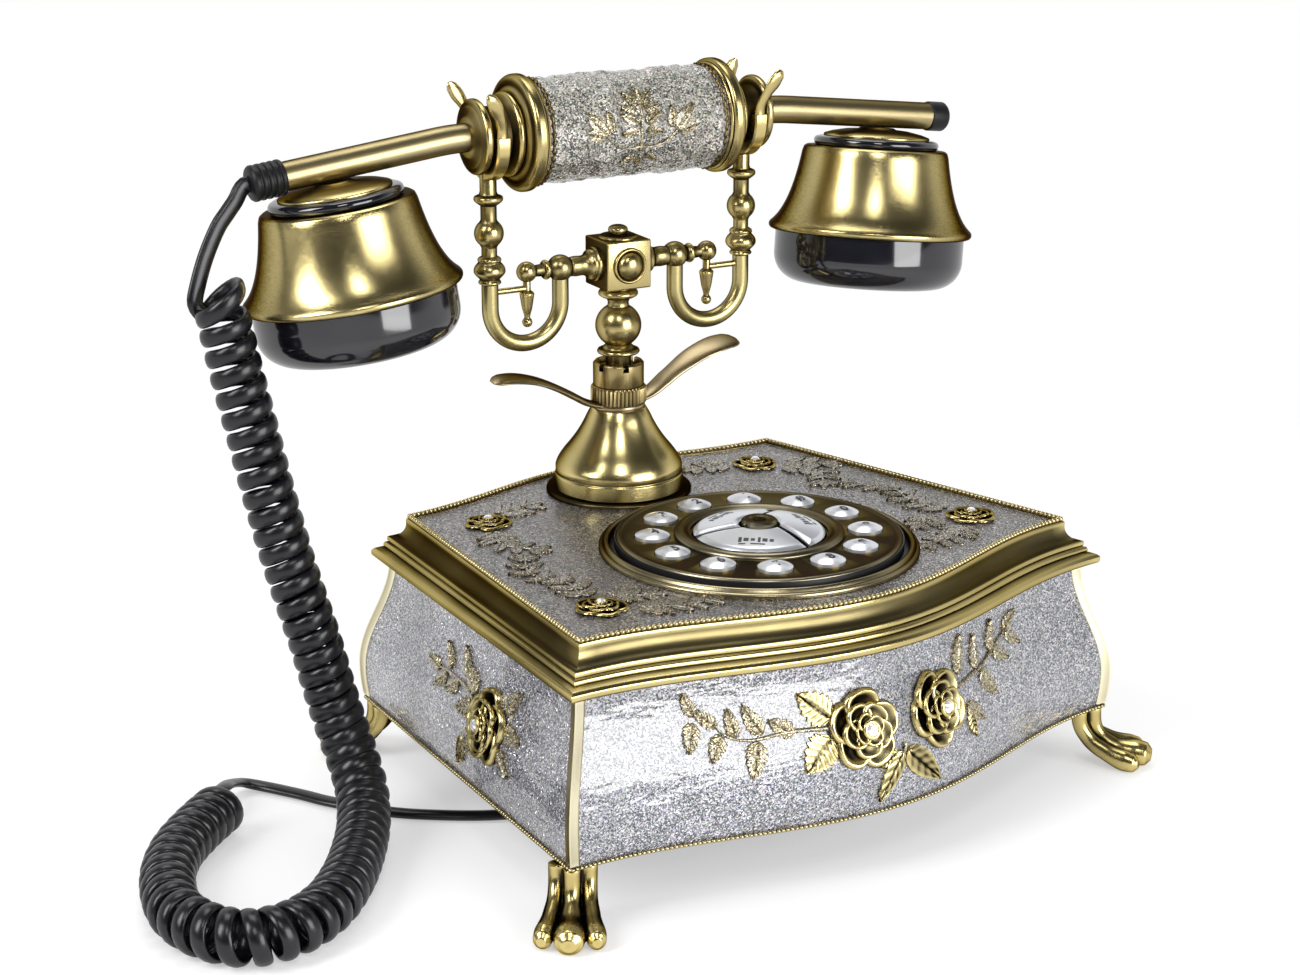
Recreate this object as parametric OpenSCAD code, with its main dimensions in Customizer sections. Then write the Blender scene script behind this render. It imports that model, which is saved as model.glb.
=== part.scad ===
// Cradle telephone: a footed, bow-fronted base with a round dial of push keys, a turned
// stand with a sprung cradle, a two-cup handset and its curly cord. Millimetres, +Z up,
// origin on the table under the middle of the base, front towards -Y.

/* [Base] */
// Width of the lid panel along its front edge
panel_w = 180; // [160:1:200]
// Width of the lid panel along its back edge
panel_back_w = 140; // [126:1:156]
// Depth of the lid panel from corner to corner
panel_d = 120; // [112:1:140]
// Height of the lid panel above the table
panel_z = 79; // [74:1:96]
// Swell of the front edge past its corners
front_bow = 20; // [12:1:24]
// Swell of the back edge past its corners
back_bow = 11.5; // [6:0.5:14]
// Height of the walls' lower edge above the table
floor_z = 18; // [15:1:24]
// Height at which the walls stand out furthest
belly_z = 30; // [26:1:36]
// How far the walls stand outside the panel at the belly
belly_out = 12.4; // [11:0.2:16]
// How far the walls stand outside the panel at the bottom
floor_out = 11.4; // [8:0.2:12]
// How far the walls stand outside the panel under the lid
neck_out = 4.8; // [4:0.2:6]
// How far the lid's lip stands outside the panel
lip_out = 9.6; // [8:0.2:11]
// Wall thickness of the base
base_wall = 2.4; // [2:0.2:3]

/* [Feet] */
// Distance from the corner to the middle toe's tip
foot_reach = 17; // [14:0.5:20]
// Angle between the side toes and the middle toe
toe_spread = 38; // [28:1:44]
// Turn of each foot away from the front or back
foot_turn = 38; // [30:1:50]

/* [Dial] */
// Distance of the dial's centre in front of the base's centre
dial_front = 24.7; // [22:0.1:27]
// Radius of the bezel
bezel_r = 48.3; // [46:0.1:49]
// Radius of the raised dial plate
plate_r = 43.5; // [42:0.1:44.2]
// Height of the dial plate above the panel
plate_rise = 4.4; // [3.6:0.1:5]
// Radius of the circle on which the keys lie
key_pitch_r = 32.3; // [31.6:0.1:33]
// Radius of a key
key_r = 5.2; // [4.6:0.1:5.4]
// Travel of a key
key_travel = 1.2; // [0.8:0.1:1.4]
// Outer radius of the function keys together
fn_r = 19.9; // [19:0.1:20.4]
// Width of the gap between two function keys
fn_gap = 1.1; // [0.8:0.1:1.6]

/* [Stand] */
// Distance of the stand's axis behind the base's centre
stand_back = 47.8; // [46:0.1:49]
// Turn of the cradle on the base, seen from above
stand_turn = -7.7; // [-12:0.1:0]
// Radius of the stand's foot flange
stand_flange_r = 23.3; // [21:0.1:24]
// Height of the bell above the panel, up to its small end
stand_bell_h = 27.7; // [25:0.1:31]
// Radius of the plunger
plunger_r = 4; // [3.4:0.1:4.4]
// Running clearance round the plunger
plunger_fit = 0.05; // [0.02:0.01:0.1]
// Travel of the cradle when the handset is lifted
hook_travel = 4; // [2:0.5:5]
// Half the width of the hub block
hub_half = 7.7; // [7:0.1:8.4]
// Height of the arms' axis above the panel
arm_rise = 74.6; // [74:0.1:80]
// Distance of the cradle posts from the stand's axis
post_x = 44.4; // [43.6:0.1:46]
// Distance of the inner legs of the hooks from the axis
hook_in_x = 20.3; // [19.8:0.1:21]
// Radius of the hook tube
hook_r = 2.6; // [2.2:0.1:2.8]

/* [Handset] */
// Height of the handset's axis above the arms' axis
axis_rise = 43.3; // [43:0.1:48]
// Tip of the handset about its own axis
handset_tip = -5.4; // [-8:0.1:0]
// Radius of the grip sleeve
grip_r = 16; // [14:0.1:16.6]
// Half the length of the grip sleeve
grip_half = 31; // [28:0.5:31.5]
// Radius of the grip's end discs
disc_r = 17.9; // [17:0.1:19]
// Radius of the necks that lie in the forks
neck_r = 8.9; // [8:0.1:9.4]
// Radius of the handset's tubes
tube_r = 4.4; // [4:0.1:4.8]
// Distance from the middle to the end of each tube
tube_end_x = 121; // [118:0.5:130]
// Droop of the tubes
droop = 6.8; // [5:0.1:8]
// Distance from the middle to each cup's axis
cup_x = 95.5; // [92:0.5:100]
// Radius of the bells' rim
rim_r = 33.2; // [31:0.1:35]
// Distance from the tube's axis down to the rim
rim_drop = 37.3; // [35:0.1:40]
// Distance the handset lifts
lift = 90; // [60:5:120]

/* [Cord] */
// Diameter of the cord
cord_d = 2.6; // [2.6:0.1:2.6]
// Outer diameter of the curly stretch
coil_d = 16; // [16:1:16]

/* [Hidden] */
$fn = 64;

brass = "#a48c4a";
dark_brass = "#7d6a38";
glitter = "#b9bcc2";
black = "#15161a";
silver = "#dfe2e6";
board_green = "#2c5a3a";

// base outline
front_steps = 28;
side_steps = 4;
back_steps = 18;
seat_gap = 0.05;
middle_y = (front_bow - back_bow) / 2;
moulding_foot_z = panel_z - 15;
shell_top_z = moulding_foot_z + 0.6;

// dial
dial_y = middle_y - dial_front;
plate_z = panel_z + plate_rise;
key_fit = 0.35;
key_flange = 1;
board_z = panel_z - 4.4;
recess_z = plate_z - 2.8;
boss_r = 5.5;
fn_dome_r = 76;
fn_edge_z = plate_z + 1.2;

// stand and cradle
panel_t = 3;
bell_top_z = panel_z + stand_bell_h;
sleeve_top_z = bell_top_z + 14.8;
stand_y = middle_y + stand_back;
arm_z = panel_z + arm_rise;
stem_foot_z = sleeve_top_z + 2.6;
plunger_foot_z = panel_z + 10;
hook_mid_x = (post_x + hook_in_x) / 2;
hook_bend_r = (post_x - hook_in_x) / 2;
hook_bend_z = arm_z - 10.4;
fork_r = neck_r + 0.3;
neck_share = (post_x - grip_half) / 13.4;
handset_z = arm_z + axis_rise;

// handset
bend_x = 52;
bend_r = 80;
bend_reach = bend_r * tan(droop / 2);
kink_x = bend_x + bend_reach;
bend_end_x = bend_x + bend_r * sin(droop);
bend_end_z = -bend_r * (1 - cos(droop));
cup_along = (cup_x - bend_end_x) / cos(droop);
tube_along = (tube_end_x - bend_end_x) / cos(droop);
plug_l = 7;
boot_l = 10.5;

// places of the ornaments: [x, z, size, turn] on the front, [y, z, size, turn] on the sides
front_roses = [[-12.4, 44.3, 12.8, 8], [15.5, 44.2, 12.4, 25]];
front_leaves = [[-23, 49.5, 12.5, 140], [-24, 43, 13.5, 222], [-35, 46.5, 8.5, 150],
                [-43, 47.5, 8.5, 118], [-44.5, 45, 9.5, 254], [-53, 50, 8, 75],
                [-54.5, 47.5, 7.5, 236], [-58, 50.5, 8, 128], [-60, 46, 7, 205],
                [-4, 35.5, 14, 236], [1, 35.5, 18, 316], [26, 49, 12, 72],
                [27, 41, 11, -32], [35, 51, 9, 20], [40, 47.5, 10, -48],
                [44, 52.5, 9, 15], [53.5, 54, 8, 8], [55, 49.5, 8, -25]];
side_rose = [[-13.6, 41.2, 12, 10]];
side_leaves = [[-4, 45, 11, 25], [-5, 39, 10, -30], [4, 49, 9, 10], [10.5, 42, 8, 30],
               [7, 33, 9, -35], [17, 45.5, 8, 5], [22, 40, 9, -15], [-22, 48.5, 10, 148],
               [-23, 42, 9, 190], [-22, 36, 9, 225]];
lid_places = [[-70.1, -37.4, 40], [70.9, -37, 140], [-54.2, 45.5, -40], [51, 46, -140]];

// line socket in the bottom plate
jack_at = [30, 50];
jack_w = 12.4;

// cord, in points chosen along its run
gland_at = [-58, -4];
gland_drop = 6;
lead_run = [[-120.26, 67.58, 189.25], [-121.44, 67.74, 189.11], [-123, 67.5, 187.6],
            [-124.8, 67, 185.2], [-127.9, 66.5, 182], [-131.4, 66, 178.2], [-136, 65, 170.8],
            [-139.7, 63.5, 163.4], [-141.6, 62, 157.2], [-141.4, 60.8, 152.8],
            [-139, 59.8, 149.8], [-135.6, 59.2, 148.6]];
coil_run = [[-137.5, 57.2, 166], [-135.2, 56, 150], [-133.2, 54, 136], [-130.8, 51.2, 120],
            [-129, 48.25, 106], [-127, 46.25, 94], [-125, 43.75, 82], [-123, 40.25, 70],
            [-120.5, 37.75, 58], [-118.5, 35.25, 46], [-116.5, 32.25, 34], [-115.5, 27.25, 24],
            [-117, 19.25, 15.8], [-123, 8.25, 10.5], [-132, -3.75, 8.3], [-144, -17.75, 8.1],
            [-157, -29, 8.1], [-170.5, -34.5, 8.1], [-182.5, -32.5, 8.1], [-189.5, -22.5, 8.1],
            [-191, -7, 8.1], [-184.5, 11.5, 8.1], [-174.5, 26.5, 8.1], [-161.5, 38.5, 8.1],
            [-148, 48.5, 8.1]];
tail_run = [[-149.5, 47.4, 8.1], [-143, 58.25, 9], [-137, 65.25, 6.5], [-130, 70.25, 3],
            [-124, 66.25, 1.5], [-118, 55.25, 1.4], [-113, 44.25, 1.4], [-103, 28.25, 1.4],
            [-92, 17.25, 1.4], [-79, 7.25, 1.4], [-68, 0.25, 2.5], [-61, -2.75, 5.5],
            [-58, -4, 9.5], [-58, -4, 12]];

// ---- functions -------------------------------------------------------------------------

// points spread evenly from 0 to 1
function steps(n) = [for (i = [0:n - 1]) i / n];

// plan of the base, standing out by e from the edge of the lid panel
function half_front(e) = panel_w / 2 + e;
function half_back(e) = panel_back_w / 2 + e;
function half_depth(e) = panel_d / 2 + e;
function swell(x, half) = pow(cos(90 * x / half), 2);
function front_y(x, e) = middle_y - half_depth(e) - front_bow * swell(x, half_front(e));
function back_y(x, e) = middle_y + half_depth(e) + back_bow * swell(x, half_back(e));
function blend(a, b, t) = a + (b - a) * t;
function outline(e) = concat(
    [for (t = steps(front_steps))
        let (x = blend(-half_front(e), half_front(e), t)) [x, front_y(x, e)]],
    [for (t = steps(side_steps))
        [blend(half_front(e), half_back(e), t), middle_y + half_depth(e) * (2 * t - 1)]],
    [for (t = steps(back_steps))
        let (x = blend(half_back(e), -half_back(e), t)) [x, back_y(x, e)]],
    [for (t = steps(side_steps))
        [blend(-half_back(e), -half_front(e), t), middle_y + half_depth(e) * (1 - 2 * t)]]);

// how far the wall stands out at height z
function wall_out(z) = z > belly_z
    ? belly_out - (belly_out - neck_out) * (1 - cos(180 * (z - belly_z) / (panel_z - 13 - belly_z))) / 2
    : belly_out - (belly_out - floor_out) * pow((belly_z - z) / (belly_z - floor_z), 2);
function wall_slope(z) = wall_out(z + 0.5) - wall_out(z - 0.5);

// vector helpers for swept tubes
function unit(v) = v / norm(v);
function tangent(p, i) = unit(p[min(i + 1, len(p) - 1)] - p[max(i - 1, 0)]);
function across(u, t) = unit(u - (u * t) * t);
function frames(p, start) = [
    for (i = 0, u = across(start, tangent(p, 0)); i < len(p);
         i = i + 1, u = i < len(p) ? across(u, tangent(p, i)) : u) u];

// ---- shared shapes ---------------------------------------------------------------------

// closed band whose section, a list of [outset, height], runs round the base
module base_band(section) {
    rings = [for (s = section) [for (q = outline(s[0])) [q[0], q[1], s[1]]]];
    n = len(rings[0]);
    m = len(rings);
    polyhedron(points = [for (r = rings) each r],
        faces = [for (j = [0:m - 1], i = [0:n - 1])
            let (k = (i + 1) % n, l = (j + 1) % m)
            each [[j * n + i, l * n + k, j * n + k], [j * n + i, l * n + i, l * n + k]]]);
}

// tube along a path, with its own half-width and half-height at each point
module swept(path, wide, high, start = [0, 0, 1], sides = 8) {
    up = frames(path, start);
    m = len(path);
    pts = [for (i = [0:m - 1]) let (t = tangent(path, i), v = cross(t, up[i]))
        for (k = [0:sides - 1]) let (a = 360 * (k + 0.5) / sides)
            path[i] + wide[i] * cos(a) * v + high[i] * sin(a) * up[i]];
    polyhedron(points = pts, faces = concat(
        [[for (k = [0:sides - 1]) sides - 1 - k]],
        [[for (k = [0:sides - 1]) (m - 1) * sides + k]],
        [for (i = [0:m - 2], k = [0:sides - 1]) let (n = (k + 1) % sides)
            each [[i * sides + k, (i + 1) * sides + n, (i + 1) * sides + k],
                  [i * sides + k, i * sides + n, (i + 1) * sides + n]]]));
}

module round_tube(path, r, sides = 8) {
    even = [for (p = path) r];
    swept(path, even, even, sides = sides);
}

module on_sides() {
    children();
    mirror([1, 0, 0]) children();
}

module in_cradle() {
    translate([0, stand_y, 0]) rotate([0, 0, stand_turn]) children();
}

module in_handset() {
    translate([0, stand_y, handset_z]) rotate([0, 0, stand_turn])
        rotate([handset_tip, 0, 0]) children();
}

// +X runs outwards along the straight part of a handset tube
module along_tube() {
    translate([bend_end_x, 0, bend_end_z]) rotate([0, droop, 0]) children();
}

module at_cups() {
    in_handset() on_sides() along_tube() translate([cup_along, 0, 0]) children();
}

// a turned piece whose profile is given as [distance along X, radius]
module turned_x(profile) {
    rotate([0, 90, 0]) rotate_extrude() polygon([for (p = profile) [p[1], p[0]]]);
}

module ball_x(x, r) {
    translate([x, 0, 0]) sphere(r = r);
}

// ---- base ------------------------------------------------------------------------------

module body_shell() {
    heights = [for (t = [0:1 / 10:1.001]) blend(floor_z, shell_top_z, t)];
    outer = [for (z = heights) [wall_out(z), z]];
    inner = [for (i = [len(heights) - 1:-2:0]) [wall_out(heights[i]) - base_wall, heights[i]]];
    color(glitter) base_band(concat(outer, inner));
}

module bottom_plate() {
    z0 = floor_z;
    color(dark_brass) difference() {
        translate([0, 0, z0]) linear_extrude(2)
            polygon(outline(floor_out - base_wall - 0.05));
        translate([gland_at[0], gland_at[1], z0 - 1]) cylinder(r = 4.1, h = 4);
        translate([jack_at[0] - jack_w / 2 - 0.6, jack_at[1] - 6.1, z0 - 1])
            cube([jack_w + 1.2, 12.3, 4]);
        for (x = [-14, 14], y = [-28, 0, 28])
            translate([x, y, z0 - 1]) cube([2.4, 16, 8], center = true);
    }
}

// brass angle along each upright corner of the walls
module corner_strips() {
    heights = [for (t = [0:1 / 10:1.001]) blend(floor_z + 1.7, shell_top_z, t)];
    n = front_steps;
    corners = [0, n, n + side_steps, n + side_steps + back_steps];
    total = len(outline(0));
    color(brass) strips([for (c = corners) [for (z = heights)
        let (o = outline(wall_out(z)), p = o[c], before = unit(o[(c + total - 1) % total] - p),
             after = unit(o[(c + 1) % total] - p), out = -unit(before + after),
             seat = p + out * seat_gap)
        [for (q = [seat, seat + before * 2.3, seat + before * 2 + out * 0.7, seat + out * 1.1,
                   seat + after * 2 + out * 0.7, seat + after * 2.3])
            [q[0], q[1], z]]]]);
}

// upright bars, each a list of sections from the foot up
module strips(bars) {
    m = len(bars[0]);
    s = len(bars[0][0]);
    polyhedron(points = [for (rings = bars, r = rings) each r], faces = [
        for (b = [0:len(bars) - 1]) let (first = b * m * s) each concat(
            [[for (k = [0:s - 1]) first + k]],
            [[for (k = [0:s - 1]) first + m * s - 1 - k]],
            [for (j = [0:m - 2], k = [0:s - 1])
                let (n = (k + 1) % s, low = first + j * s, high = low + s)
                each [[low + k, high + k, high + n], [low + k, high + n, low + n]]])]);
}

// cove, two fillets and the projecting lip round the lid
module lid_moulding() {
    z = panel_z;
    cove = [for (a = [0:15:90]) [5.4 - 3.9 * cos(a), z - 1.6 - 4.4 * sin(a)]];
    section = concat(
        [[0, z + 0.1], [1.4, z + 0.1], [1.5, z - 0.6]],
        cove,
        [[5.8, z - 6.2], [5.9, z - 7.4], [5.5, z - 7.7], [6.6, z - 8.1], [6.8, z - 9.2],
         [6.4, z - 9.6], [lip_out - 0.6, z - 10.2], [lip_out, z - 10.8],
         [lip_out, z - 12.4], [lip_out - 0.6, z - 12.9], [neck_out + 0.8, shell_top_z],
         [neck_out - 5, shell_top_z], [neck_out - 5, z - panel_t], [0, z - panel_t]]);
    color(brass) base_band([for (i = [len(section) - 1:-1:0]) section[i]]);
}

// bead on the inner edge of the moulding, and a smaller one round the foot of the walls
module bead_trims() {
    color(brass) {
        bead_band(0.75, panel_z + 0.1 + 0.85 * sin(60), 0.85);
        bead_band(wall_out(floor_z + 0.8) + 0.85, floor_z + 0.8, 0.8);
    }
}

module bead_band(e, z, r) {
    base_band([for (a = [0:60:300]) [e + r * cos(a), z + r * sin(a)]]);
}

module lid_panel() {
    color(glitter) difference() {
        translate([0, 0, panel_z - panel_t]) linear_extrude(panel_t)
            polygon(outline(-0.1));
        translate([0, dial_y, panel_z - panel_t - 1]) cylinder(r = plate_r + 0.3, h = panel_t + 2);
        translate([0, stand_y, panel_z - panel_t - 1]) cylinder(r = 9, h = panel_t + 2);
    }
}

// ---- ornaments -------------------------------------------------------------------------

// Z runs out of the front wall at this place, Y runs up it
module on_front(x, z, out) {
    side = (front_y(x + 0.5, out) - front_y(x - 0.5, out));
    up = -wall_slope(z);
    translate([x, front_y(x, out), z]) rotate([0, 0, atan(side)])
        rotate([90 - atan(up), 0, 0]) children();
}

// the same on the left wall, where the place is given by y and z
module on_left(y, z, out) {
    t = 0.5 + (y - middle_y) / (2 * half_depth(out));
    x = -blend(half_front(out), half_back(out), t);
    lean = atan((half_front(out) - half_back(out)) / (2 * half_depth(out)));
    translate([x, y, z]) rotate([0, 0, -90 - lean]) rotate([90 + atan(wall_slope(z)), 0, 0])
        children();
}

// two rings of petals and a bud, sunk a little into what it sits on
module rose(r) {
    petal_tier(0.6 * r, 0.4 * r, 0.68 * r, -0.8, 0.18 * r);
    rotate([0, 0, 36]) petal_tier(0.34 * r, 0.24 * r, 0.4 * r, 0, 0.3 * r);
    cylinder(r = 0.22 * r, h = 0.4 * r);
}

// five round petals of radius r about a core, from z to top
module petal_tier(at, r, core, z, top) {
    translate([0, 0, z]) linear_extrude(top - z) {
        circle(r = core);
        for (a = [0:72:288]) rotate(a) translate([at, 0]) circle(r = r);
    }
}

// pointed leaf of length l along X, standing on its back
module leaf(l, h = 1.1) {
    w = 0.42 * l;
    r = (l * l / 4 + w * w / 4) / w;
    translate([0, 0, -0.8]) intersection() {
        translate([l / 2, r - w / 2, 0]) cylinder(r = r, h = h + 0.8, $fn = 48);
        translate([l / 2, w / 2 - r, 0]) cylinder(r = r, h = h + 0.8, $fn = 48);
    }
}

module front_ornament() {
    color(brass) {
        for (p = front_roses) on_front(p[0], p[1], wall_out(p[1]))
            rotate([0, 0, p[3]]) rose(p[2]);
        for (p = front_leaves) on_front(p[0], p[1], wall_out(p[1]))
            rotate([0, 0, p[3]]) leaf(p[2]);
    }
}

module side_ornaments() {
    color(brass) on_sides() {
        for (p = side_rose) on_left(p[0], p[1], wall_out(p[1]))
            rotate([0, 0, p[3]]) rose(p[2]);
        for (p = side_leaves) on_left(p[0], p[1], wall_out(p[1]))
            rotate([0, 0, -p[3]]) leaf(p[2]);
    }
}

module lid_roses() {
    color(brass) for (p = lid_places) translate([p[0], p[1], panel_z]) {
        difference() {
            rose(6);
            translate([0, 0, -2]) cylinder(r = 20, h = 2);
        }
        for (a = [-25, 25]) rotate([0, 0, p[2] + a]) translate([6.2, 0, 0]) difference() {
            leaf(9, 1);
            translate([0, 0, -2]) cylinder(r = 20, h = 2);
        }
    }
}

// cut stones set in the middle of each rose
module stones() {
    color("white") {
        for (p = front_roses) on_front(p[0], p[1], wall_out(p[1])) stone(0.4 * p[2]);
        for (p = side_rose) on_sides() on_left(p[0], p[1], wall_out(p[1])) stone(0.4 * p[2]);
        for (p = lid_places) translate([p[0], p[1], panel_z]) stone(2.4, 1.3);
    }
}

module stone(seat, r = 1.7) {
    translate([0, 0, seat]) cylinder(r = r, h = 0.9, $fn = 8);
}

// ---- feet ------------------------------------------------------------------------------

// claw foot with its middle toe along +X, under a corner at the origin
module claw_foot() {
    tip = foot_reach;
    pad_z = 3.3 * cos(22.5);
    color(brass) {
        translate([-3.6, 0, floor_z - 1.8]) cylinder(r = 5.8, h = 1.8);
        for (a = [-toe_spread, 0, toe_spread]) {
            reach = a == 0 ? tip : tip * 0.88;
            rotate([0, 0, a]) swept(
                [[-2.6, 0, floor_z - 1.8], [-1.6, 0, floor_z - 4.4], [0, 0, floor_z - 8.6],
                 [reach * 0.24, 0, 5.9], [reach * 0.48, 0, pad_z + 0.3],
                 [reach * 0.72, 0, pad_z], [reach * 0.88, 0, pad_z], [reach, 0, pad_z]],
                [3.2, 2.7, 2.4, 2.4, 2.6, 2.9, 2.8, 1.5],
                [3.6, 3.1, 2.8, 2.8, 3.0, 3.3, 3.3, 1.8], [1, 0, 0.2]);
        }
    }
}

module foot_at(x, y, turn) {
    translate([x, y, 0]) rotate([0, 0, turn]) claw_foot();
}

module foot_front_left() {
    foot_at(-half_front(floor_out), middle_y - half_depth(floor_out), 270 - foot_turn);
}
module foot_front_right() {
    foot_at(half_front(floor_out), middle_y - half_depth(floor_out), 270 + foot_turn);
}
module foot_back_left() {
    foot_at(-half_back(floor_out), middle_y + half_depth(floor_out), 90 + foot_turn);
}
module foot_back_right() {
    foot_at(half_back(floor_out), middle_y + half_depth(floor_out), 90 - foot_turn);
}

// ---- inside the base -------------------------------------------------------------------

// socket for the line, open downwards through the bottom plate
module line_jack() {
    color(black) difference() {
        translate([jack_at[0] - jack_w / 2 - 1.6, jack_at[1] - 8, floor_z + 2])
            cube([jack_w + 3.2, 16, 14]);
        translate([jack_at[0] - jack_w / 2, jack_at[1] - 5.5, floor_z + 1])
            cube([jack_w, 9, 12]);
        translate([jack_at[0] - 3.2, jack_at[1] + 3, floor_z + 1]) cube([6.4, 2.6, 12]);
    }
}

module cord_gland() {
    color(black) translate([gland_at[0], gland_at[1], floor_z - gland_drop]) {
        cylinder(r = 2.4, h = gland_drop + 6);
        cylinder(r = 3.2, h = 1.6);
        translate([0, 0, 2.6]) cylinder(r = 3.2, h = 1.2);
        translate([0, 0, gland_drop]) cylinder(r = 4, h = 2);
        translate([0, 0, gland_drop + 2]) cylinder(r = 5.6, h = 1.6);
    }
}

// line board on its standoffs with the sounder and relay, and the board under the keys
module circuit_boards() {
    z = floor_z + 2;
    color(board_green) {
        translate([-2, 14, z + 7]) cube([60, 22, 1.6]);
        for (x = [2, 54], y = [18, 32]) translate([x, y, z]) cylinder(r = 2.2, h = 7);
        translate([6, 17, z + 8.6]) cube([14, 9, 6]);
        translate([30, 20, z + 8.6]) cylinder(r = 4, h = 9);
        translate([40, 17, z + 8.6]) cube([10, 14, 3]);
        key_board();
    }
}

module ballast() {
    color("dimgray") translate([-40, 6, floor_z + 2]) cube([34, 44, 9]);
}

// ---- dial ------------------------------------------------------------------------------

module at_dial(z = 0) {
    translate([0, dial_y, z]) children();
}

module dial_bezel() {
    in_r = plate_r + 0.5;
    z = panel_z;
    color(brass) at_dial() rotate_extrude() polygon([
        [in_r, z], [bezel_r, z], [bezel_r, z + 1.2], [bezel_r - 0.8, z + 1.9],
        [bezel_r - 1.8, z + 2], [bezel_r - 2.2, z + 2.9], [bezel_r - 3.3, z + 3.1],
        [in_r, z + 2.4]]);
}

// thick disc with a hole for each key, a flange under the panel and a recess for the board
module dial_plate() {
    low = panel_z - panel_t - 3;
    color(brass) at_dial() difference() {
        union() {
            rotate_extrude() polygon([[0, low], [plate_r + 3.5, low],
                [plate_r + 3.5, panel_z - panel_t], [plate_r, panel_z - panel_t],
                [plate_r, plate_z - 0.9], [plate_r - 0.5, plate_z - 0.3],
                [plate_r - 1.6, plate_z], [plate_r - 2.6, plate_z - 0.35], [0, plate_z - 0.35]]);
        }
        translate([0, 0, low - 1]) cylinder(r = plate_r - 3, h = recess_z - low + 1);
        translate([0, 0, low]) cylinder(r = fn_r + 0.4, h = 20);
        for (i = [0:11]) rotate([0, 0, 30 * i]) translate([key_pitch_r, 0, low])
            cylinder(r = key_r + key_fit, h = 20);
    }
}

module dial_ring() {
    z = plate_z - 0.35;
    color(brass) at_dial() rotate_extrude() polygon([
        [fn_r + 0.9, z], [25.7, z], [25.7, z + 0.9], [24.6, z + 1.8], [23.2, z + 2],
        [21.9, z + 1.2], [fn_r + 0.9, z + 1]]);
}

// pin that carries the round boss between the function keys
module dial_boss() {
    top = fn_edge_z + 3.3;
    color(brass) at_dial() difference() {
        rotate_extrude() polygon([[0, board_z + 1.6], [2.6, board_z + 1.6],
            [2.6, top - 4.4], [boss_r, top - 3.6], [boss_r, top - 0.6], [boss_r - 0.6, top],
            [3.4, top], [2.9, top - 0.4], [0, top - 0.4]]);
        translate([0, 0, top - 2]) cylinder(r = 2, h = 4);
    }
}

module key_board() {
    at_dial(board_z) {
        cylinder(r = plate_r - 3.4, h = 1.6);
        for (a = [0:60:300]) rotate([0, 0, a + 15]) translate([plate_r - 5.4, 0, 0.4])
            cylinder(r = 1.5, h = recess_z - board_z - 0.4);
    }
}

module key(i) {
    rise = 2;
    dome = (key_r * key_r + 1.5 * 1.5) / 3;
    top = plate_z + rise;
    color(silver) at_dial() rotate([0, 0, 30 * i]) translate([key_pitch_r, 0, 0]) {
        intersection() {
            translate([0, 0, recess_z - 1.2]) cylinder(r = key_r, h = 10);
            translate([0, 0, top - dome]) sphere(r = dome);
        }
        translate([0, 0, recess_z - 1.2]) cylinder(r = key_r + 0.9, h = key_flange);
        translate([0, 0, board_z + 1.6 + key_travel + 0.2])
            cylinder(r = 1.6, h = recess_z - board_z - 2.8 - key_travel);
    }
}

module key_0() { key(0); }
module key_hash() { key(1); }
module key_1() { key(2); }
module key_2() { key(3); }
module key_3() { key(4); }
module key_4() { key(5); }
module key_5() { key(6); }
module key_6() { key(7); }
module key_7() { key(8); }
module key_8() { key(9); }
module key_9() { key(10); }
module key_star() { key(11); }

// one of the three curved keys that share the middle of the dial
module function_key(turn) {
    offset_line = 3;
    inner = boss_r + 0.7;
    centre_z = fn_edge_z - sqrt(fn_dome_r * fn_dome_r - fn_r * fn_r);
    color(silver) at_dial() rotate([0, 0, turn]) {
        intersection() {
            translate([0, 0, recess_z - 1.2]) linear_extrude(14)
                petal(fn_r, inner, offset_line);
            translate([0, 0, centre_z]) sphere(r = fn_dome_r, $fn = 128);
        }
        translate([0, 0, recess_z - 1.2]) linear_extrude(key_flange)
            petal(fn_r + 1.1, inner, offset_line);
        for (a = [35, 85]) rotate([0, 0, a]) translate([13, 0, board_z + 1.6 + key_travel + 0.2])
            cylinder(r = 1.4, h = recess_z - board_z - 2.8 - key_travel);
    }
}

module petal(r, inner, shift) {
    far = 60;
    function turned(p, a) = [p[0] * cos(a) - p[1] * sin(a), p[0] * sin(a) + p[1] * cos(a)];
    difference() {
        intersection() {
            circle(r = r, $fn = 96);
            polygon([[0, shift], [far, shift], turned([far, 0], 60),
                turned([far, shift], 120), turned([0, shift], 120)]);
        }
        circle(r = inner);
        translate([-1, shift - fn_gap / 2]) square([far, fn_gap]);
        rotate(120) translate([-1, shift - fn_gap / 2]) square([far, fn_gap]);
    }
}

module function_key_a() { function_key(30); }
module function_key_b() { function_key(150); }
module function_key_c() { function_key(270); }

// ---- stand -----------------------------------------------------------------------------

module at_stand(z = 0) {
    translate([0, stand_y, z]) rotate([0, 0, stand_turn]) children();
}

module stand_bell() {
    r = stand_flange_r;
    h = stand_bell_h;
    color(brass) at_stand(panel_z) difference() {
        rotate_extrude() polygon([[0, 0], [r, 0], [r, 1], [r - 0.6, 1.5], [r - 2.7, 1.6],
            [r - 2.8, 6.0], [r - 3.3, 6.5], [r - 3.0, 7.1], [r - 3.0, 8.6], [r - 3.7, 10.4],
            [r - 5.4, 13], [r - 7.8, 16], [r - 10, 19.1], [r - 11.9, 22.4],
            [r - 13.3, h - 2.4], [r - 14.2, h - 0.8], [8.6, h], [0, h]]);
        translate([0, 0, -1]) rotate_extrude() polygon([[0, 0], [14, 0], [14, 10],
            [plunger_r + 2, 17], [0, 17]]);
        cylinder(r = plunger_r + plunger_fit, h = 60);
    }
}

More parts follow.
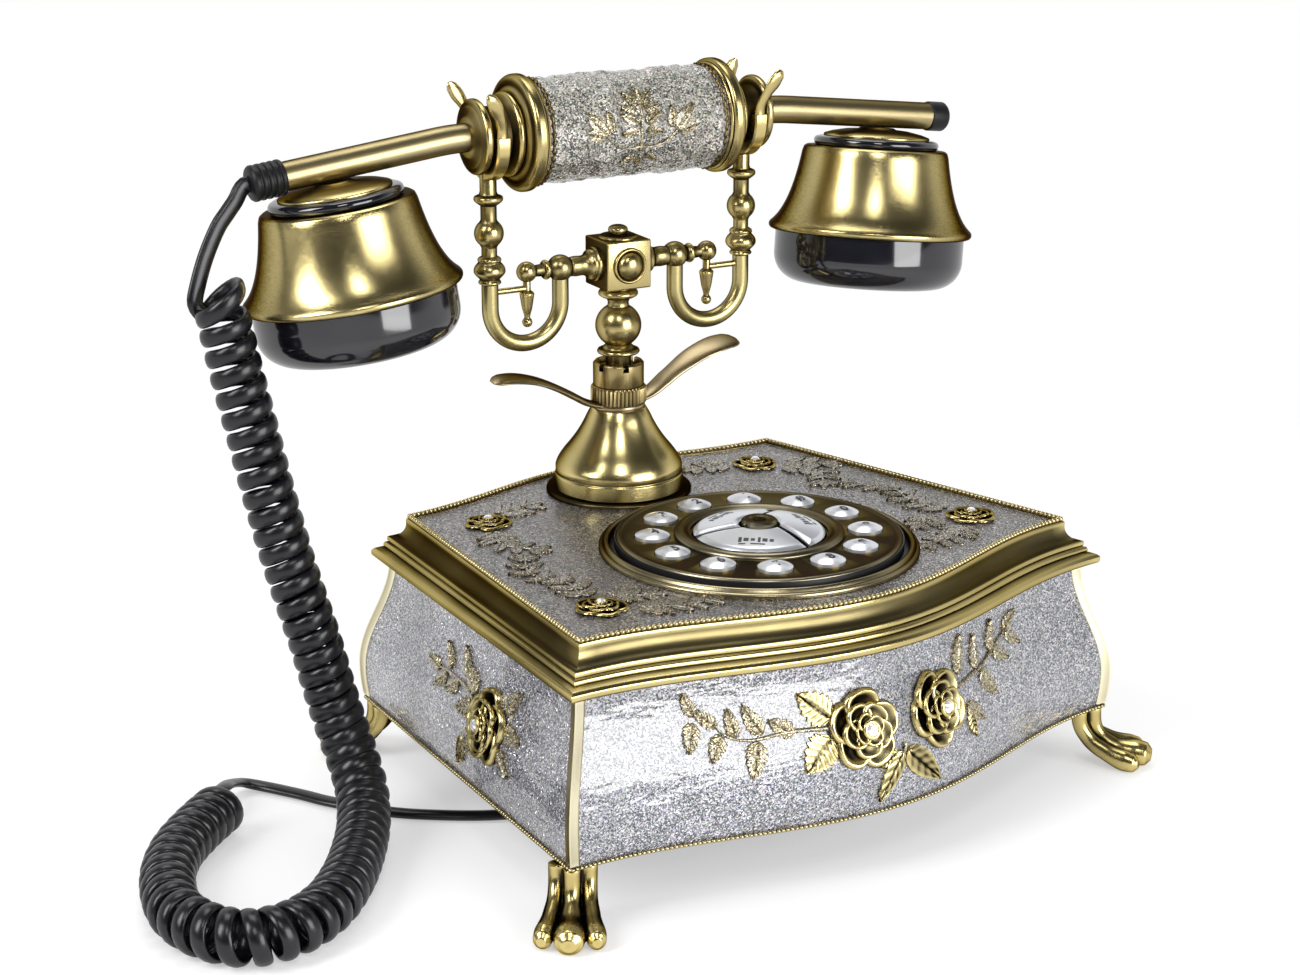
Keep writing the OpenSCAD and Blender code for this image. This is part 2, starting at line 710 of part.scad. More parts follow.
// twin finger lever that curves up to the left and right
module stand_wings() {
    run = [[6.5, 0, 1], [9, 0, 1.7], [13, 0, 3.2], [18, 0, 6.2], [24, 0, 9.6],
           [30, 0, 12.4], [36, 0, 14.2], [42, 0, 15], [46.8, 0, 14.6]];
    color(brass) at_stand(bell_top_z) rotate([0, 0, -1.6 - stand_turn]) difference() {
        union() {
            cylinder(r = 8.4, h = 1.2);
            on_sides() swept(run, [3.2, 3.0, 2.8, 2.8, 3.0, 3.5, 4.0, 4.0, 2.2],
                [0.9, 1.2, 1.2, 1.1, 1.1, 1.0, 0.95, 0.9, 0.6]);
        }
        translate([0, 0, -5]) cylinder(r = plunger_r + 0.5, h = 30);
        translate([0, 0, -5]) cylinder(r = 8, h = 5);
        translate([0, 0, 1.2]) cylinder(r = 9.2, h = 30);
    }
}

// knurled nut and the slotted sleeve that guides the plunger
module stand_collars() {
    teeth = 40;
    r = 8.9;
    color(brass) at_stand(bell_top_z + 1.2) difference() {
        union() {
            cylinder(r = r - 0.5, h = 6.2);
            translate([0, 0, 0.8]) linear_extrude(4.6)
                polygon([for (i = [0:2 * teeth - 1])
                    let (a = 180 * i / teeth, q = i % 2 == 0 ? r : r - 0.45)
                    [q * cos(a), q * sin(a)]]);
            translate([0, 0, 6.2]) cylinder(r = 8.1, h = 7.4);
        }
        translate([0, 0, -1]) cylinder(r = plunger_r + plunger_fit, h = 30);
        for (a = [0:60:300]) rotate([0, 0, a + 20]) translate([5.6, -1.1, 11.2])
            cube([4, 2.2, 6]);
    }
}

module hook_switch() {
    color(black) at_stand() difference() {
        union() {
            translate([-11, -8, panel_z - 17]) cube([22, 16, 14]);
            translate([0, 0, panel_z - 3]) cylinder(r = 8.6, h = 3.4);
        }
        translate([0, 0, panel_z - 1.6]) cylinder(r = 5, h = 4);
    }
}

module hook_spring() {
    turns = 4.5;
    foot = panel_z - 1.6 + 0.5;
    h = plunger_foot_z - foot - 0.5;
    run = [for (i = [0:turns * 12]) let (a = 30 * i, t = i / (turns * 12))
        [2.9 * cos(a), 2.9 * sin(a), foot + h * t]];
    color("gray") at_stand() round_tube(run, 0.5, 6);
}

// ---- cradle ----------------------------------------------------------------------------

module cradle_stem() {
    foot = stem_foot_z;
    top = arm_z - hub_half;
    ball_z = foot + 8.5;
    color(brass) in_cradle() rotate_extrude() polygon(concat(
        [[0, plunger_foot_z], [plunger_r, plunger_foot_z], [plunger_r, foot], [6.5, foot],
         [6.8, foot + 0.6], [6.5, foot + 1.3], [5.2, foot + 1.6], [4.9, foot + 2.1]],
        [for (a = [-60:10:60]) [7.4 * cos(a), ball_z + 6.1 * sin(a)]],
        [[3.5, foot + 15], [3.3, foot + 16.4], [3.7, top - 4.2], [5.2, top - 3.6],
         [6.1, top - 3], [6.3, top - 2.2], [5.8, top - 1.3], [4.8, top - 0.8],
         [4.8, top], [0, top]]));
}

module cradle_hub() {
    s = hub_half;
    color(brass) in_cradle() translate([0, 0, arm_z]) {
        intersection() {
            cube(2 * s, center = true);
            rotate([0, 0, 45]) cube([2.66 * s, 2.66 * s, 4 * s], center = true);
            rotate([45, 0, 0]) cube([4 * s, 2.66 * s, 2.66 * s], center = true);
        }
        for (a = [-90, 90]) rotate([a, 0, 0]) translate([0, 0, s]) rotate_extrude()
            polygon([[0, 0], [5.6, 0], [5.6, 0.6], [4.9, 1.2], [4.1, 0.7], [3.7, 0.7],
                [3.5, 1.5], [2.6, 2.2], [1.4, 2.6], [0, 2.7]]);
        translate([0, 0, s]) rotate_extrude() polygon([[0, 0], [6.2, 0], [6.2, 0.6],
            [4.4, 0.9], [2.4, 1.2], [2.9, 1.9], [3, 2.6], [2.5, 3.3], [1.4, 3.8], [0, 4]]);
    }
}

// turned arms with a ball over each hook, an end ball, a pendant and its stay
module cradle_arms() {
    s = hub_half;
    end_x = hook_mid_x - 0.5;
    drop = arm_z - hook_bend_z + hook_bend_r - hook_r - 1.85;
    color(brass) in_cradle() translate([0, 0, arm_z]) on_sides() difference() {
        union() {
            turned_x([[s, 0], [s, 5.4], [s + 1.3, 5.4], [s + 1.8, 4.7], [s + 3.6, 4.4],
                [s + 4.2, 3.3], [s + 6, 3.1], [s + 7.4, 3.2], [hook_in_x, 3],
                [hook_in_x + 4.2, 2.2], [hook_in_x + 4.8, 3], [hook_in_x + 5.7, 3],
                [hook_in_x + 6.3, 2], [end_x, 1.7], [end_x, 0]]);
            ball_x(hook_in_x, 4.2);
            ball_x(end_x, 3.2);
            translate([end_x, 0, -drop]) rotate_extrude() polygon([[0, 0], [0.7, 0.4],
                [1.8, 1.7], [1.9, 2.6], [1.2, 3.8], [0.9, 4.6], [2.1, 6.8], [2.3, 8.2],
                [1.4, 9.3], [2.9, 9.8], [2.9, 10.6], [1.4, 11.4], [1.2, 15.5], [0, 15.5]]);
            translate([end_x, 0, -4.4]) rotate([0, 90, 0])
                cylinder(r = 0.9, h = post_x - end_x);
        }
        translate([post_x, 0, -9]) cylinder(r = hook_r + 0.02, h = 9);
    }
}

// U-shaped tubes between the arm balls and the posts
module cradle_hooks() {
    leg = arm_z - hook_bend_z;
    color(brass) in_cradle() on_sides() difference() {
        union() {
            translate([hook_mid_x, 0, hook_bend_z]) rotate([90, 0, 0])
                rotate([0, 0, 180]) rotate_extrude(angle = 180) translate([hook_bend_r, 0])
                    circle(r = hook_r);
            translate([hook_in_x, 0, hook_bend_z]) cylinder(r = hook_r, h = leg);
            translate([post_x, 0, hook_bend_z]) cylinder(r = hook_r, h = leg - 2.6);
        }
        translate([hook_in_x, 0, arm_z]) sphere(r = 4.22);
    }
}

// turned post, the fork that carries the neck, and its two leaf-shaped prongs
module cradle_post(side) {
    foot = arm_z - 2.6;
    ball_z = foot + 16;
    neck = handset_z - foot;
    color(brass) in_cradle() mirror([side < 0 ? 1 : 0, 0, 0]) {
        translate([post_x, 0, foot]) rotate_extrude() polygon(concat(
            [[0, 0], [2.6, 0], [3.5, 0.5], [3.5, 1.2], [3.0, 1.7], [4.6, 3.4], [4.9, 4.4],
             [4.6, 5.6], [3.4, 7.2], [3.7, 7.8], [3.4, 8.4], [2.4, 9], [2.4, 11.6]],
            [for (a = [-50:10:50]) [4.55 * cos(a), ball_z - foot + 4.5 * sin(a)]],
            [[2.5, 20.3], [2.5, 24.6], [3.4, 25.2], [4.5, 26.2], [4.5, 27.3], [2.9, 28],
             [2.6, 29], [2.6, neck - fork_r - 1], [0, neck - fork_r - 1]]));
        translate([post_x, 0, handset_z]) fork();
    }
}

module fork() {
    thick = 4.4 * neck_share;
    along = [0, 0.3, 1.6, 3.4, 5.2, 6];
    out = [1.5, 2, 3.4, 4.4, 4.8, 4.8];
    height = [1.4, 4, 7.2, 10.6, 13.4, 14.6];
    wide = [1.9, 2.1, 3, 3.2, 2, 0.5];
    difference() {
        rotate([0, 90, 0]) translate([1.1, 0, -thick / 2]) cylinder(r = fork_r + 3.2, h = thick);
        rotate([0, 90, 0]) cylinder(r = fork_r, h = 10, center = true);
        translate([0, 0, 10]) cube([10, 2 * fork_r - 0.3, 20], center = true);
        translate([0, 0, 12.4]) cube([10, 60, 20], center = true);
    }
    for (s = [-1, 1]) swept(
        [for (i = [0:5]) [along[i] * neck_share, s * (fork_r + out[i]), height[i]]],
        [for (w = wide) w * neck_share], [1.3, 1.1, 1.0, 0.9, 0.7, 0.3], [0, s, -0.1]);
}

module cradle_post_left() { cradle_post(-1); }
module cradle_post_right() { cradle_post(1); }

// ---- handset ---------------------------------------------------------------------------

module grip_sleeve() {
    color(glitter) in_handset() rotate([0, 90, 0]) difference() {
        cylinder(r = grip_r, h = 2 * grip_half, center = true, $fn = 96);
        cylinder(r = grip_r - 3, h = 3 * grip_half, center = true);
    }
}

// end discs, necks and collars, from the sleeve's end outwards
module grip_ends() {
    profile = [[0, 0], [0, 16.6], [0.6, 16.9], [1, 16.4], [1, disc_r - 0.8], [1.7, disc_r],
        [4, disc_r], [5, disc_r - 0.9], [5.3, 14.8], [6, 13.6], [6.2, 12.2], [7, 12.9],
        [8.2, 12.6], [8.8, 11], [9.2, neck_r], [16, neck_r], [16.1, 10.9], [17, 11.6],
        [18.4, 11.3], [19.2, 9.6], [20, 7.4], [20.5, 5.6], [20.5, 0]];
    color(brass) in_handset() on_sides()
        turned_x([for (p = profile) [grip_half + p[0] * neck_share, p[1]]]);
}

module handset_tubes() {
    start = grip_half + 20.5 * neck_share;
    color(brass) in_handset() for (end = [[1, plug_l], [-1, boot_l]])
        mirror([end[0] < 0 ? 1 : 0, 0, 0]) {
            translate([start, 0, 0]) rotate([0, 90, 0]) cylinder(r = tube_r, h = kink_x - start);
            translate([kink_x, 0, 0]) sphere(r = tube_r);
            translate([kink_x, 0, 0]) rotate([0, droop, 0]) rotate([0, 90, 0])
                cylinder(r = tube_r, h = tube_along + bend_reach - end[1]);
        }
}

// plain plug at the right end, ribbed boot for the cord at the left end
module handset_caps() {
    r = tube_r + 1;
    color(black) in_handset() {
        along_tube() translate([tube_along - plug_l, 0, 0]) turned_x([[0, 0], [0, tube_r + 0.1],
            [0.4, tube_r + 0.4], [plug_l - 1.2, tube_r + 0.4], [plug_l - 0.3, tube_r - 0.3],
            [plug_l, tube_r - 1.2], [plug_l, 0]]);
        mirror([1, 0, 0]) along_tube() translate([tube_along - boot_l, 0, 0]) turned_x(concat(
            [[0, 0], [0, r - 0.3], [0.5, r]],
            [for (i = [0:3]) each [[2 * i + 1.4, r], [2 * i + 1.6, r - 0.5],
                [2 * i + 2.2, r - 0.5], [2 * i + 2.4, r]]],
            [[boot_l - 1, r], [boot_l - 0.3, r - 0.6], [boot_l, r - 1.5], [boot_l, 0]]));
    }
}

module cup_collars() {
    color(brass) at_cups() difference() {
        rotate_extrude() polygon([[0, -3], [5.4, -3], [6.2, -4.8], [10, -5.2],
            [14.5, -6.1], [17.2, -7.1], [17.2, -7.8], [0, -7.8]]);
        rotate([0, 90, 0]) cylinder(r = tube_r + 0.02, h = 40, center = true);
    }
}

module cup_necks() {
    color(black) at_cups() rotate_extrude() polygon([[0, -7.8], [18.4, -7.8], [19.8, -8.3],
        [20.3, -9.4], [19.8, -10.6], [18.9, -10.9], [0, -10.9]]);
}

module cup_bells() {
    r = rim_r;
    z = -rim_drop;
    color(brass) at_cups() rotate_extrude() polygon([[0, -10.9], [22.4, -10.9],
        [23.4, -11.6], [23.8, -13], [24.7, -18], [26, -23.5], [27.6, -28.4],
        [r - 3.6, z + 4.7], [r - 1.8, z + 2.2], [r - 0.4, z + 0.8], [r, z],
        [r - 0.4, z - 1.1], [r - 1.5, z - 1.6], [r - 2.2, z - 1.6], [r - 2.2, z - 0.6],
        [r - 3.4, z + 1.4], [r - 5.1, z + 4.4], [26, -28.8], [24.4, -23.8], [23.2, -18.3],
        [22.3, -13.4], [21.8, -12.4], [0, -12.4]]);
}

// gloss caps screwed into the bells, with sound holes in the face
module cup_bowls() {
    r = rim_r - 2.4;
    z = -rim_drop - 1.6;
    low = 7.6;
    round_r = 9;
    face = z - low - round_r;
    color(black) at_cups() difference() {
        rotate_extrude() polygon(concat([[r, z + 0.8]],
            [for (a = [0:15:90]) [r - round_r * (1 - cos(a)), z - low - round_r * sin(a)]],
            [[0, face], [0, face + 2]],
            [for (a = [90:-15:0]) [r - round_r + (round_r - 2) * cos(a),
                z - low - (round_r - 2) * sin(a)]],
            [[r - 2, z + 2.4], [r - 1, z + 2.4]]));
        for (n = [[1, 0], [6, 6], [12, 12]], i = [0:n[0] - 1])
            rotate([0, 0, 360 * i / n[0]]) translate([n[1], 0, face - 1])
                cylinder(r = 1.1, h = 4, $fn = 16);
    }
}

// receiver and microphone, each behind its sound holes
module cup_capsules() {
    color("gray") at_cups() translate([0, 0, -rim_drop - 16.2]) {
        cylinder(r = 15, h = 7);
        cylinder(r = 9, h = 9);
    }
}

// ---- cord ------------------------------------------------------------------------------

module cord_lead() {
    color(black) round_tube(lead_run, cord_d / 2);
}

module cord_coil() {
    color(black) round_tube(coil_run, coil_d / 2, 12);
}

module cord_tail() {
    color(black) round_tube(tail_run, cord_d / 2);
}

body_shell();
bottom_plate();
corner_strips();
bead_trims();
lid_moulding();
lid_panel();
front_ornament();
side_ornaments();
lid_roses();
stones();
foot_front_left();
foot_front_right();
foot_back_left();
foot_back_right();
line_jack();
cord_gland();
circuit_boards();
ballast();
dial_bezel();
dial_plate();
dial_ring();
dial_boss();
key_1();
key_2();
key_3();
key_4();
key_5();
key_6();
key_7();
key_8();
key_9();
key_0();
key_star();
key_hash();
function_key_a();
function_key_b();
function_key_c();
stand_bell();
stand_wings();
stand_collars();
hook_switch();
hook_spring();
cradle_stem();
cradle_hub();
cradle_arms();
cradle_hooks();
cradle_post_left();
cradle_post_right();
grip_sleeve();
grip_ends();
handset_tubes();
handset_caps();
cup_collars();
cup_necks();
cup_bells();
cup_bowls();
cup_capsules();
cord_lead();
cord_coil();
cord_tail();
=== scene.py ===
import bpy
from math import asin, atan2, cos, degrees, exp, hypot, pi, radians, sin, sqrt
from mathutils import Matrix, Vector, noise


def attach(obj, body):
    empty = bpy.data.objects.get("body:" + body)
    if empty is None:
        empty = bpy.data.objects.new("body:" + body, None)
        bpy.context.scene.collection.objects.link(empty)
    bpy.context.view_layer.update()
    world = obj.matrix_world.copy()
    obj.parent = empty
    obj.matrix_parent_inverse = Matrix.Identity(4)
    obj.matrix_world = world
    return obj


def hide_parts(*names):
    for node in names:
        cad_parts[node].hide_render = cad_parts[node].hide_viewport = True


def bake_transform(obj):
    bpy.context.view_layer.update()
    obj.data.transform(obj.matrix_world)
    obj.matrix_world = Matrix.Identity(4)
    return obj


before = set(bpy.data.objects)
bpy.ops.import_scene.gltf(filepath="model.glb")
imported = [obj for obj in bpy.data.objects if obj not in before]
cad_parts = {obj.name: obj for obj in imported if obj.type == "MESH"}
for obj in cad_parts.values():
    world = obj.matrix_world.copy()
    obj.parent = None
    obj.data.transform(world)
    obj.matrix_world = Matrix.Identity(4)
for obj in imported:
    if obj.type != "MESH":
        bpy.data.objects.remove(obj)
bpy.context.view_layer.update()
mm = 0.001


# small helpers


def deselect():
    if bpy.context.object and bpy.context.object.mode != "OBJECT":
        bpy.ops.object.mode_set(mode="OBJECT")
    bpy.ops.object.select_all(action="DESELECT")


def pick(obj):
    deselect()
    obj.select_set(True)
    bpy.context.view_layer.objects.active = obj


def newest(name):
    obj = bpy.context.object
    obj.name = name
    obj.data.name = name
    return obj


def modify(obj, kind, **values):
    pick(obj)
    modifier = obj.modifiers.new(kind.title(), kind)
    for key, value in values.items():
        setattr(modifier, key, value)
    bpy.ops.object.modifier_apply(modifier=modifier.name)


def smooth(obj, angle=30):
    pick(obj)
    bpy.ops.object.shade_smooth_by_angle(angle=radians(angle))


def facesOut(obj, weld=False):
    pick(obj)
    bpy.ops.object.mode_set(mode="EDIT")
    bpy.ops.mesh.select_all(action="SELECT")
    if weld:
        bpy.ops.mesh.remove_doubles(threshold=2e-6)
        bpy.ops.mesh.delete_loose(use_verts=True, use_edges=True, use_faces=False)
        bpy.ops.mesh.select_all(action="SELECT")
    bpy.ops.mesh.normals_make_consistent(inside=False)
    bpy.ops.object.mode_set(mode="OBJECT")


def joined(name, parts):
    deselect()
    for part in parts:
        part.select_set(True)
    bpy.context.view_layer.objects.active = parts[0]
    if len(parts) > 1:
        bpy.ops.object.join()
    obj = newest(name)
    pick(obj)
    bpy.ops.object.transform_apply(location=True, rotation=True, scale=True)
    return obj


def added(kind, name, **values):
    # a new mesh primitive
    deselect()
    getattr(bpy.ops.mesh, "primitive_" + kind + "_add")(**values)
    return newest(name)


def drill(sides, radius, depth, *spot):
    # a cylinder to cut with, in millimetres
    return added("cylinder", "cutter", vertices=sides, radius=radius * mm, depth=depth * mm,
                 location=[v * mm for v in spot])


def cutAway(obj, cutters, angle):
    cutter = joined("cutter", cutters)
    modify(obj, "BOOLEAN", operation="DIFFERENCE", object=cutter, solver="EXACT")
    bpy.data.objects.remove(cutter)
    smooth(obj, angle)


def cleaned(obj, angle, weld=False):
    facesOut(obj, weld)
    smooth(obj, angle)
    return obj


def copied(obj, name):
    pick(obj)
    bpy.ops.object.duplicate()
    return newest(name)


def moved(x, y, z):
    return Matrix.Translation((x, y, z))


def turned(angle, axis):
    return Matrix.Rotation(radians(angle), 4, axis)


def placed(obj, matrix):
    # bakes a placement in millimetres into the mesh
    shift = Matrix.Translation(matrix.to_translation() * mm)
    obj.data.transform(shift @ matrix.to_3x3().to_4x4())
    return obj


def paint(obj, material):
    obj.data.materials.clear()
    obj.data.materials.append(material)


def wearOf(obj, reach=1.0, passes=2):
    # edges that stand out are worn bright and hollows keep dark patina, kept as a number per vertex to
    # which some pieces add painted shade
    mesh = obj.data
    total = [0.0] * len(mesh.vertices)
    count = [0] * len(mesh.vertices)
    links = []
    for edge in mesh.edges:
        a, b = edge.vertices
        way = mesh.vertices[b].co - mesh.vertices[a].co
        if way.length < 1e-7:
            continue
        way.normalize()
        links.append((a, b))
        total[a] -= way.dot(mesh.vertices[a].normal)
        total[b] += way.dot(mesh.vertices[b].normal)
        count[a] += 1
        count[b] += 1
    value = [t / max(1, c) for t, c in zip(total, count)]
    for _ in range(passes):
        spread = list(value)
        near = [1] * len(value)
        for a, b in links:
            spread[a] += value[b]
            spread[b] += value[a]
            near[a] += 1
            near[b] += 1
        value = [s / n for s, n in zip(spread, near)]
    store = mesh.attributes.new("wear_and_shade", "FLOAT", "POINT")
    for item, v in zip(store.data, value):
        item.value = max(-1.0, min(1.0, v * 4 * reach))


def between(table, t):
    # value read from straight lines between (place, value) pairs
    for (a, x), (b, y) in zip(table, table[1:]):
        if t <= b:
            return x + (y - x) * (t - a) / (b - a)
    return table[-1][1]


def shiftWearAndShade(obj, change):
    # shifts the stored number, for worn spots and for painted shade and highlights, by a value chosen
    # from each vertex's place
    mesh = obj.data
    for item, vertex in zip(mesh.attributes["wear_and_shade"].data, mesh.vertices):
        item.value = max(-1.0, min(1.0, item.value + change(vertex.co)))


def finishPiece(obj, body, material, *nodes, place=None, wear_and_shade=None, change=None):
    # placed in millimetres, worn, given its painted shade and highlights where asked, painted and handed
    # over to its body
    if place:
        placed(obj, place)
    if wear_and_shade:
        wearOf(obj, *wear_and_shade)
    if change:
        shiftWearAndShade(obj, change)
    paint(obj, material)
    if nodes:
        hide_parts(*nodes)
    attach(obj, body)
    return obj


# camera


def makeCamera():
    settings = {"place": (-0.48618, -0.62933, 0.34208), "tilt": 72.565, "turn": -36.194, "lens": 75.58}
    deselect()
    turn = (radians(settings["tilt"]), 0, radians(settings["turn"]))
    bpy.ops.object.camera_add(location=settings["place"], rotation=turn)
    camera = newest("camera")
    camera.data.sensor_width = 36
    camera.data.lens = settings["lens"]
    camera.data.clip_end = 20
    bpy.context.scene.camera = camera


makeCamera()
print("camera set")


# lines and tubes


def curve(points, step):
    # even Catmull-Rom samples through given points
    points = [Vector(p) for p in points]
    run = [points[0] * 2 - points[1], *points, points[-1] * 2 - points[-2]]
    out = []
    for a, b, c, d in zip(run, run[1:], run[2:], run[3:]):
        count = max(1, round((c - b).length / step))
        for i in range(count):
            t = i / count
            out.append(0.5 * (2 * b + (c - a) * t + (2 * a - 5 * b + 4 * c - d) * t * t
                              + (3 * b - 3 * c + d - a) * t ** 3))
    return out + [points[-1]]


def directions(points):
    last = len(points) - 1
    return [(points[min(i + 1, last)] - points[max(i - 1, 0)]).normalized() for i in range(last + 1)]


def carried(points, start):
    # a side vector carried along a line without twist
    side = start
    out = []
    for way in directions(points):
        side = (side - way * side.dot(way)).normalized()
        out.append(side.copy())
    return out


def loft(name, rings, angle=40, loop=False):
    # tube through rings of points, either a loop or with a cap at each end
    count = len(rings[0])
    n = len(rings)
    faces = [] if loop else [list(range(count))[::-1], [(n - 1) * count + k for k in range(count)]]
    for i in range(n if loop else n - 1):
        after = (i + 1) % n
        for k in range(count):
            m = (k + 1) % count
            faces.append([i * count + k, i * count + m, after * count + m, after * count + k])
    mesh = bpy.data.meshes.new(name)
    mesh.from_pydata([p * mm for ring in rings for p in ring], [], faces)
    obj = bpy.data.objects.new(name, mesh)
    bpy.context.collection.objects.link(obj)
    return cleaned(obj, angle)


def ovalRings(points, sides, wide, thin, count):
    # rings of oval section, wide along the side vector; sizes are full widths
    rings = []
    n = len(points)
    for i, (p, way, side) in enumerate(zip(points, directions(points), sides)):
        side = (side - way * side.dot(way)).normalized()
        over = way.cross(side)
        w = wide(i / (n - 1)) if callable(wide) else wide
        h = thin(i / (n - 1)) if callable(thin) else thin
        rings.append([p + side * (w / 2 * cos(2 * pi * k / count))
                      + over * (h / 2 * sin(2 * pi * k / count)) for k in range(count)])
    return rings


def ovalTube(name, run, wide, thin, count, angle=40, side=(0, 1, 0)):
    return loft(name, ovalRings(run, [Vector(side)] * len(run), wide, thin, count), angle)


# finishes


def newMaterial(name):
    material = bpy.data.materials.new(name)
    material.use_nodes = True
    tree = material.node_tree
    return material, tree, tree.nodes["Principled BSDF"]


def fill(tree, node, values):
    # sets inputs to numbers, or wires them to the sockets given
    for key, value in values.items():
        if isinstance(value, bpy.types.NodeSocket):
            tree.links.new(value, node.inputs[key])
        else:
            node.inputs[key].default_value = value


def newNode(tree, kind, values=None, **fields):
    node = tree.nodes.new("ShaderNode" + kind)
    for key, value in fields.items():
        setattr(node, key, value)
    fill(tree, node, values or {})
    return node


def sums(tree, kind, *values):
    return newNode(tree, "Math", dict(enumerate(values)), operation=kind).outputs["Value"]


def vectors(tree, kind, *values):
    return newNode(tree, "VectorMath", dict(enumerate(values)), operation=kind)


def ramp(tree, source, stops):
    node = newNode(tree, "ValToRGB", {"Fac": source})
    marks = node.color_ramp.elements
    while len(marks) < len(stops):
        marks.new(0.5)
    for mark, (place, value) in zip(marks, stops):
        mark.position = place
        mark.color = (*value, 1) if isinstance(value, tuple) else (value, value, value, 1)
    return node.outputs["Color"]


def smoothRange(tree, source, *limits):
    # eased from the first pair of limits to the second
    names = ("From Min", "From Max", "To Min", "To Max")
    node = newNode(tree, "MapRange", dict(zip(names, limits)), interpolation_type="SMOOTHSTEP")
    fill(tree, node, {"Value": source})
    return node.outputs["Result"]


def objectNoise(tree, scale, detail=3, stretch=(1, 1, 1), turn=(0, 0, 0)):
    place = newNode(tree, "TexCoord")
    move = newNode(tree, "Mapping", {"Scale": stretch, "Rotation": [radians(a) for a in turn],
                                     "Vector": place.outputs["Object"]})
    cloud = newNode(tree, "TexNoise",
                    {"Scale": scale, "Detail": detail, "Vector": move.outputs["Vector"]})
    return cloud.outputs["Fac"]


def addBump(tree, shader, source, strength, distance, socket="Normal"):
    bump = newNode(tree, "Bump", {"Strength": strength, "Distance": distance, "Height": source})
    fill(tree, shader, {socket: bump.outputs["Normal"]})


def turnedAway(tree, power):
    # grows towards the piece's outline as seen
    edge = newNode(tree, "LayerWeight", {"Blend": 0.5})
    return sums(tree, "POWER", edge.outputs["Facing"], power)


def agedBrass(name, bright=(0.46, 0.375, 0.165), dark=(0.07, 0.053, 0.024), rough=(0.26, 0.44),
              patina=60, level=0.56, cloudy=0.5, brush=(1, 1, 8), turn=(0, 0, 0), grain=0.12, streak=0.0,
              relief=0.6):
    # brass worn bright where it stands out, with dark patina in hollows and in clouds, any painted shade
    # stored with that number, and painted shade towards its outline as seen
    material, tree, shader = newMaterial(name)
    wear_and_shade = newNode(tree, "Attribute", attribute_name="wear_and_shade").outputs["Fac"]
    cloud = objectNoise(tree, patina, 5)
    lines = objectNoise(tree, 700, 3, brush, turn)
    tone = level + 0.12 - cloudy / 2 - streak / 2
    # painted shade: the colour darkens towards the piece's outline as seen
    away = turnedAway(tree, 1.6)
    for source, factor in ((wear_and_shade, relief), (away, -0.75), (cloud, cloudy), (lines, streak)):
        tone = sums(tree, "MULTIPLY_ADD", source, factor, tone)
    colour = ramp(tree, tone, [(0.0, tuple(0.45 * c for c in dark)), (0.26, dark),
                               (0.52, tuple(0.72 * c for c in bright)), (0.7, bright),
                               (1.0, tuple(min(1, 1.28 * c) for c in bright))])
    gloss = ramp(tree, tone, [(0.2, rough[1]), (0.75, rough[0])])
    fill(tree, shader, {"Metallic": 1, "Specular Tint": (0.3, 0.25, 0.16, 1), "Base Color": colour,
                        "Roughness": gloss})
    addBump(tree, shader, lines, grain, 0.0001)
    return material


def plainFinish(name, colour, rough, metal=0.0, mottle=0.12, bump=0.08, coat=0.0, scale=60, shine=0.5,
                fade=0.0):
    # moulded or enamelled surface with a slight mottle and fine grain
    material, tree, shader = newMaterial(name)
    fill(tree, shader, {"Metallic": metal, "Roughness": rough, "Coat Weight": coat,
                        "Coat Roughness": 0.07, "Specular IOR Level": shine})
    if fade:
        # less gloss where the surface turns away
        away = turnedAway(tree, 1.5)
        for socket, full in (("Coat Weight", coat), ("Specular IOR Level", shine)):
            fill(tree, shader, {socket: sums(tree, "MULTIPLY_ADD", away, -fade * full, full)})
    low = tuple(c * (1 - mottle) for c in colour)
    high = tuple(min(1, c * (1 + mottle)) for c in colour)
    fill(tree, shader, {"Base Color": ramp(tree, objectNoise(tree, scale, 4),
                                           [(0.35, low), (0.65, high)])})
    addBump(tree, shader, objectNoise(tree, 1500, 2), bump, 0.0001)
    return material


def glitterFinish(name, tints, size=0.36, tilt=0.95, metal=0.55, wave=0.7, coat=1.8, weight=0.9):
    # flakes at random tilts under a clear, slightly wavy lacquer
    material, tree, shader = newMaterial(name)
    place = newNode(tree, "TexCoord")
    flakes = newNode(tree, "TexVoronoi", {"Scale": 1 / (size * mm), "Vector": place.outputs["Object"]})
    flake = flakes.outputs["Color"]
    split = newNode(tree, "SeparateColor", {"Color": flake})
    tone = ramp(tree, split.outputs["Red"], tints)
    tint = newNode(tree, "Mix", {"Factor": 0.15, "A": tone, "B": flake}, data_type="RGBA",
                   blend_type="OVERLAY")
    # each flake tilts its own way
    centred = vectors(tree, "SUBTRACT", flake, (0.5, 0.5, 0.5))
    normal = newNode(tree, "NewGeometry")
    lean = vectors(tree, "MULTIPLY_ADD", centred.outputs["Vector"], (tilt, tilt, tilt),
                   normal.outputs["Normal"])
    level = vectors(tree, "NORMALIZE", lean.outputs["Vector"])
    fill(tree, shader, {"Base Color": tint.outputs["Result"], "Metallic": metal, "Roughness": 0.34,
                        "Normal": level.outputs["Vector"], "Coat Weight": weight, "Coat Roughness": 0.12,
                        "Coat IOR": coat})
    addBump(tree, shader, objectNoise(tree, 75, 3, (0.5, 0.5, 1.6)), wave, 0.002, "Coat Normal")
    return material


